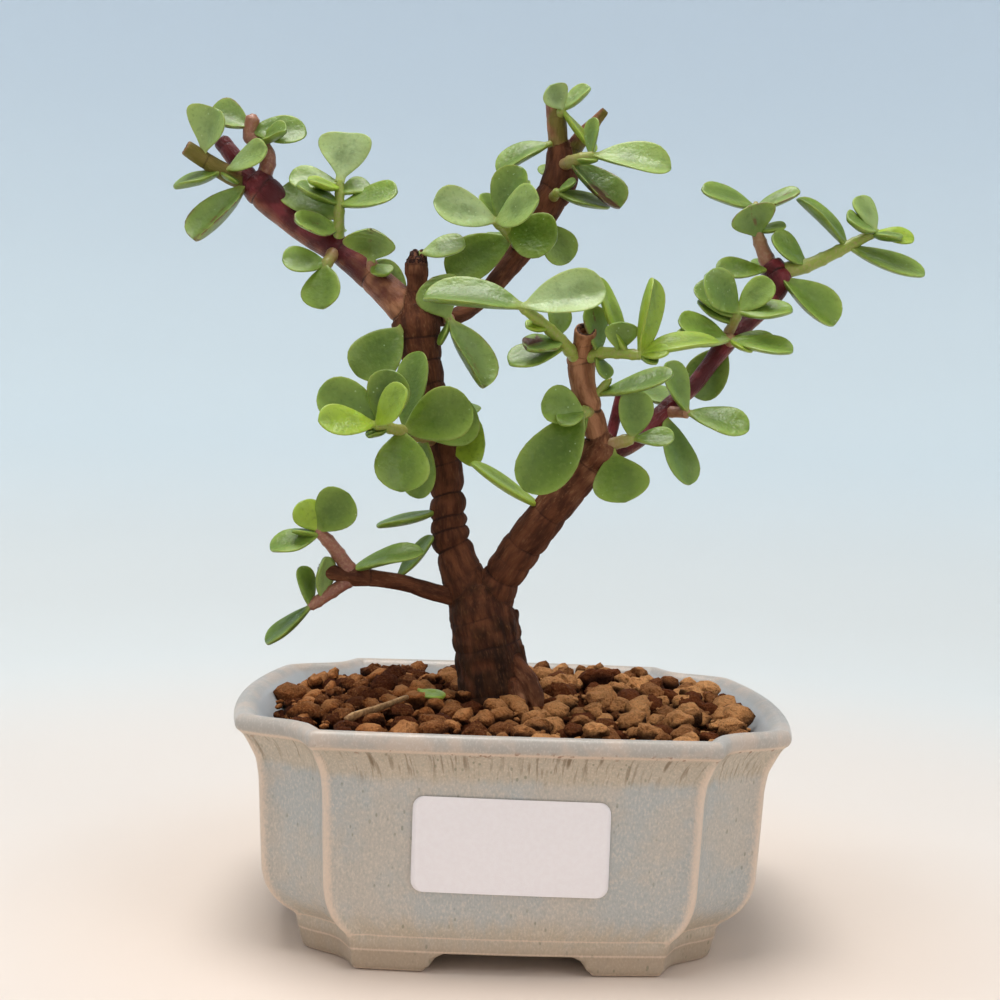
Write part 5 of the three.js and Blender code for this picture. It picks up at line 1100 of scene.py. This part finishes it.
def melt(name, mesh, voxel, smoothing):
    """One closed skin round everything in a mesh."""
    carrier = loose_object(name, mesh)
    remesh = carrier.modifiers.new("melt", "REMESH")
    remesh.mode, remesh.voxel_size, remesh.use_smooth_shade = "VOXEL", voxel * MM, True
    smooth = carrier.modifiers.new("ease", "SMOOTH")
    smooth.factor, smooth.iterations = 0.5, smoothing
    return take_mesh(carrier, worked=True)


def read_vectors(vectors, name):
    """One vector for each of a mesh's points, as rows."""
    flat = np.empty(len(vectors) * 3, np.float32)
    vectors.foreach_get(name, flat)
    return flat.reshape(-1, 3).astype(float)


def nearest_samples(points, centres, radii):
    """For each point the line sample whose skin lies nearest, worked out in blocks."""
    blocks = [points[start : start + POINTS_AT_ONCE] for start in range(0, len(points), POINTS_AT_ONCE)]
    return np.concatenate([
        np.argmin(np.linalg.norm(block[:, None, :] - centres[None, :, :], axis=2) - radii[None, :], axis=1)
        for block in blocks])


def cloudy(points, scale, salt):
    """Smooth noise at points in millimetres, from -1 to 1."""
    return np.array([noise.noise(Vector((x + salt, y, z))) for x, y, z in points * scale])


def wood_mesh():
    """Trunks and branches as one skin, with growth rings, creases, fissures and flaking old bark."""
    lines = {name: thick_line(limb["line"], LIMB_SPACING) for name, limb in LIMBS.items()}
    mesh = melt("wood", wood_skin(lines).mesh("wood"), WOOD_VOXEL, 3)
    points = (read_vectors(mesh.vertices, "co") - [POT_CENTRE, 0, 0]) / MM
    normals = read_vectors(mesh.vertex_normals, "vector")

    # What the limbs' lines hold at each of their samples, read for each point at the sample nearest to it
    rng = random.Random(29)
    samples, rings = [], []
    for number, (name, (line, tangents, arcs, radii)) in enumerate(lines.items()):
        limb = LIMBS[name]
        same = [limb.get("green", 0), limb.get("rugged", SMOOTH_BARK), number, *unit(line[-1] - line[0])]
        samples.append(np.column_stack([line, tangents, radii, arcs, arcs[-1] - arcs,
                                        np.linspace(*limb["age"], len(arcs)), np.tile(same, (len(arcs), 1))]))
        rings.append(ring_places(limb.get("creases"), line, arcs, rng))
    samples = np.vstack(samples)
    nearest = samples[nearest_samples(points, samples[:, :3], samples[:, 6])]
    centre, way, heading = nearest[:, :3], nearest[:, 3:6], nearest[:, 13:]
    wide, arc, to_end, age, greenness, rugged, owner = nearest[:, 6:13].T
    offset = points - centre
    lengthwise = np.sum(offset * way, axis=1)
    along = arc + lengthwise
    squarely = offset - lengthwise[:, None] * way
    drawn = squarely + heading * (0.24 * along + 7.0 * owner)[:, None]
    old = np.clip(age, 0, 1)

    push, crease = np.zeros(len(points)), np.zeros(len(points))
    wander = cloudy(points, 0.16, 5.0)
    for number, places in enumerate(rings):
        mine = (owner == number).astype(float)
        for at, deep, tip in places:
            gap = along - at - tip * offset[:, 0] - 0.8 * wander
            sharp = hump(gap, 0, 0.34) * (0.6 + 0.4 * np.clip(wander * 2 + 0.6, 0, 1))
            waist = 0.8 * deep * hump(gap, 0, 1.35)
            push -= mine * deep * (waist + 0.55 * sharp) * np.clip(wide / 4, 0.45, 1.1)
            crease = np.maximum(crease, mine * sharp * min(1.0, 0.35 + deep))
        push += 0.4 * mine * (len(places) > 0) * np.clip(wide / 4, 0.3, 1.0)
    long_fibre, fine_fibre = cloudy(drawn, 1.1, 0.0), cloudy(drawn, 2.4, 40.0)
    knots, flakes = cloudy(points, 0.34, 80.0), cloudy(points, 0.8, 120.0)
    roughness = (0.15 + 0.85 * old) * rugged
    push += roughness * (0.16 * long_fibre + 0.1 * fine_fibre) * np.clip(wide / 4, 0.4, 1.1)
    push += (0.12 + 0.2 * old) * knots * np.clip(wide / 5, 0.3, 1.2)
    push += 1.2 * np.clip(age - 0.75, 0, 1) * np.maximum(flakes, 0)

    opened = [number for number, limb in enumerate(LIMBS.values()) if "end" in limb]
    ended = (to_end < 0.3) & np.isin(owner, opened)
    out = np.linalg.norm(squarely, axis=1) / np.maximum(wide, 0.1)
    cut, pale = ended * smoothstep(0.93, 0.8, out), ended * hump(out, 0.8, 0.12)
    quiet = 1 - 0.8 * np.maximum(cut, pale)
    moved = points + normals * (np.clip(push, -0.9, 0.8) * quiet)[:, None]
    mesh.vertices.foreach_set("co", place(moved).astype(np.float32).ravel())
    torn = (owner == list(LIMBS).index("torn_stub")) & (points[:, 2] > TORN_HEIGHT - 0.8)
    torn = torn * smoothstep(TORN_HEIGHT - 0.8, TORN_HEIGHT + 0.8, points[:, 2] + 0.8 * knots)
    sunless = normals[:, 0] * 0.8 - normals[:, 2] * 0.7 + 0.7 * cloudy(points, 0.4, 9.0)
    grain = mesh.attributes.new("grain", "FLOAT_VECTOR", "POINT")
    grain.data.foreach_set("vector", (drawn * MM).astype(np.float32).ravel())
    store(mesh, {"age": np.clip(age + 0.1 * knots, 0, 1), "crease": crease, "cut": np.maximum(cut, torn),
                 "rim": pale, "rugged": rugged, "green": greenness * smoothstep(-0.75, 0.1, sunless),
                 "fissure": np.clip(-long_fibre * 1.6 - 0.35 * fine_fibre, 0, 1) * roughness,
                 "up": smoothstep(-0.85, -0.15, normals[:, 2])})
    mesh.update()
    return mesh


# ---------- small things ----------
def straw_skin():
    """A dry sliver of straw, flat and a little twisted."""
    centres, tangents, arcs, _ = spline([[-36.3, -35, 51.8], [-30, -25, 52.4], [-24.3, -14.6, 53.1]], 0.6)
    across, up = frames_along(tangents)
    cos, sin = circle(12)
    rows = []
    for k, centre in enumerate(centres):
        spin = 0.5 * k / len(centres)
        flat = across[k] * math.cos(spin) + up[k] * math.sin(spin)
        thick = up[k] * math.cos(spin) - across[k] * math.sin(spin)
        half = 1.35 * min(1, 0.35 + arcs[k] / 2.5, 0.35 + (arcs[-1] - arcs[k]) / 2.5)
        rows.append(centre + np.outer(cos * half, flat) + np.outer(sin * 0.55, thick))
    return Skin(np.vstack([*rows, centres[:1], centres[-1:]]), ring_faces(len(rows), len(cos)))


# ---------- stage ----------
BACKDROP = [  # [distance from the centre, height] in millimetres: a flat floor that curves up all round
    (120, 0), (240, 0), (420, 0), (560, 12), (680, 48), (780, 108), (850, 190), (895, 290), (920, 420),
    (935, 620), (940, 900),
]


def backdrop():
    """A seamless bowl of floor and wall, open above."""
    sides = 96
    turns = [2 * np.pi * k / sides for k in range(sides)]
    points, faces = [[0.0, 0.0, -0.02]], []
    for far, high in BACKDROP:
        points += [[far * math.cos(t), far * math.sin(t), high - 0.02] for t in turns]
    for k in range(sides):
        faces.append((0, 1 + k, 1 + (k + 1) % sides))
        for r in range(len(BACKDROP) - 1):
            a, b = 1 + r * sides + k, 1 + r * sides + (k + 1) % sides
            faces.append((a, a + sides, b + sides, b))
    mesh = Skin(points, faces).mesh("backdrop")
    paint = Paint("studio_paper")
    far = (paint.x * paint.x + paint.y * paint.y).math("SQRT")
    paint.color = paint.mix(far.band(0.06, 0.17), (224, 209, 196), (218, 211, 204))
    paint.coat(far.band(0.16, 0.42), (214, 218, 217))
    wall = paint.mix(paint.z.band(0.1, 0.55), (205, 218, 224), (186, 201, 214))
    paint.coat(paint.z.band(0.0, 0.13), wall)
    paint.coat(paint.y.band(-0.15, -0.5), (216, 211, 208))
    mesh.materials.append(paint.finish(0.9, Specular_IOR_Level=0.1))
    loose_object("backdrop", mesh)


def soft_lamp(name, at, aim, size, power, colour):
    data = bpy.data.lights.new(name, "AREA")
    data.shape, data.size, data.energy, data.color = "DISK", size, power, colour
    lamp = loose_object(name, data)
    lamp.location = Vector(at)
    lamp.rotation_euler = (Vector(aim) - Vector(at)).to_track_quat("-Z", "Y").to_euler()


def studio_air():
    """Soft light from all round."""
    world = bpy.data.worlds.new("studio_air")
    bpy.context.scene.world = world
    world.use_nodes = True
    air = next(n for n in world.node_tree.nodes if n.type == "BACKGROUND")
    air.inputs["Color"].default_value = srgb(242, 240, 240)
    air.inputs["Strength"].default_value = 0.48


# ---------- camera ----------
CAMERA = {"at": (-9.4, -312.5, 108.9), "lens": 46.8, "turn": -0.95, "down": 1.87, "roll": 1.93}


def camera():
    turn, down, roll = (math.radians(CAMERA[k]) for k in ("turn", "down", "roll"))
    right = Vector((math.cos(turn), math.sin(turn), 0))
    level = Vector((-math.sin(turn), math.cos(turn), 0))
    ahead = level * math.cos(down) - Vector((0, 0, math.sin(down)))
    above = level * math.sin(down) + Vector((0, 0, math.cos(down)))
    across = right * math.cos(roll) + above * math.sin(roll)
    above = above * math.cos(roll) - right * math.sin(roll)
    data = bpy.data.cameras.new("camera")
    data.lens, data.sensor_width, data.clip_start = CAMERA["lens"], 36, 0.01
    view = loose_object("camera", data)
    turned = Matrix((across, above, -ahead)).transposed().to_4x4()
    view.matrix_world = Matrix.Translation(Vector(place(CAMERA["at"]))) @ turned
    bpy.context.scene.camera = view


# ---------- the model ----------
camera()
bpy.context.scene.view_settings.view_transform = "Standard"

glaze = glaze_paint()
pot = loose_object("pot_glazed", pot_skin().mesh("pot_glazed"))
drill_drains(pot)
show("pot_glazed", take_mesh(pot), glaze, "glaze", *POT_NODES)
show("blank_label", label_skin().mesh("blank_label"),
     plain_paint("label_paper", (238, 235, 238), (236, 232, 235), 900, 0.55), "label_paper", "label")

clay = clay_paint()
show("clay_soil", soil_mesh(clay), clay, "clay_grains", "soil")

show("bark_wood", wood_mesh(), bark_paint(), "bark", "wood")

jade = jade_paint()
foliage(jade)
fallen = Skin()
leaf(fallen, np.array([-21.8, -6.5, 53.2]), [-12, 40, 8, 5, 60, 0.6], "y", random.Random(2))
show("jade_fallen_leaf", fallen.mesh("jade_fallen_leaf"), jade, "jade_leaf", "fallen_leaf")
show("dry_straw_sliver", straw_skin().mesh("dry_straw_sliver"),
     plain_paint("dry_straw", (190, 152, 104), (142, 104, 66), 900, 0.7), "dry_straw", "straw")

net = plain_paint("drain_net", (52, 54, 54), (36, 38, 38), 400, 0.5)
for name in ("drain_screen_left", "drain_screen_right"):
    for node_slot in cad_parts[name].material_slots:
        node_slot.material = net

backdrop()
soft_lamp("overhead", (-0.1, -0.02, 1.05), (0, 0, 0.08), 0.62, 9.1, (1.0, 0.985, 0.97))
soft_lamp("left_front", (-0.75, -0.65, 0.5), (0, 0, 0.1), 0.7, 4.2, (1.0, 0.97, 0.96))
soft_lamp("right_front", (0.75, -0.6, 0.45), (0, 0, 0.1), 0.7, 5.2, (1.0, 0.97, 0.96))
studio_air()
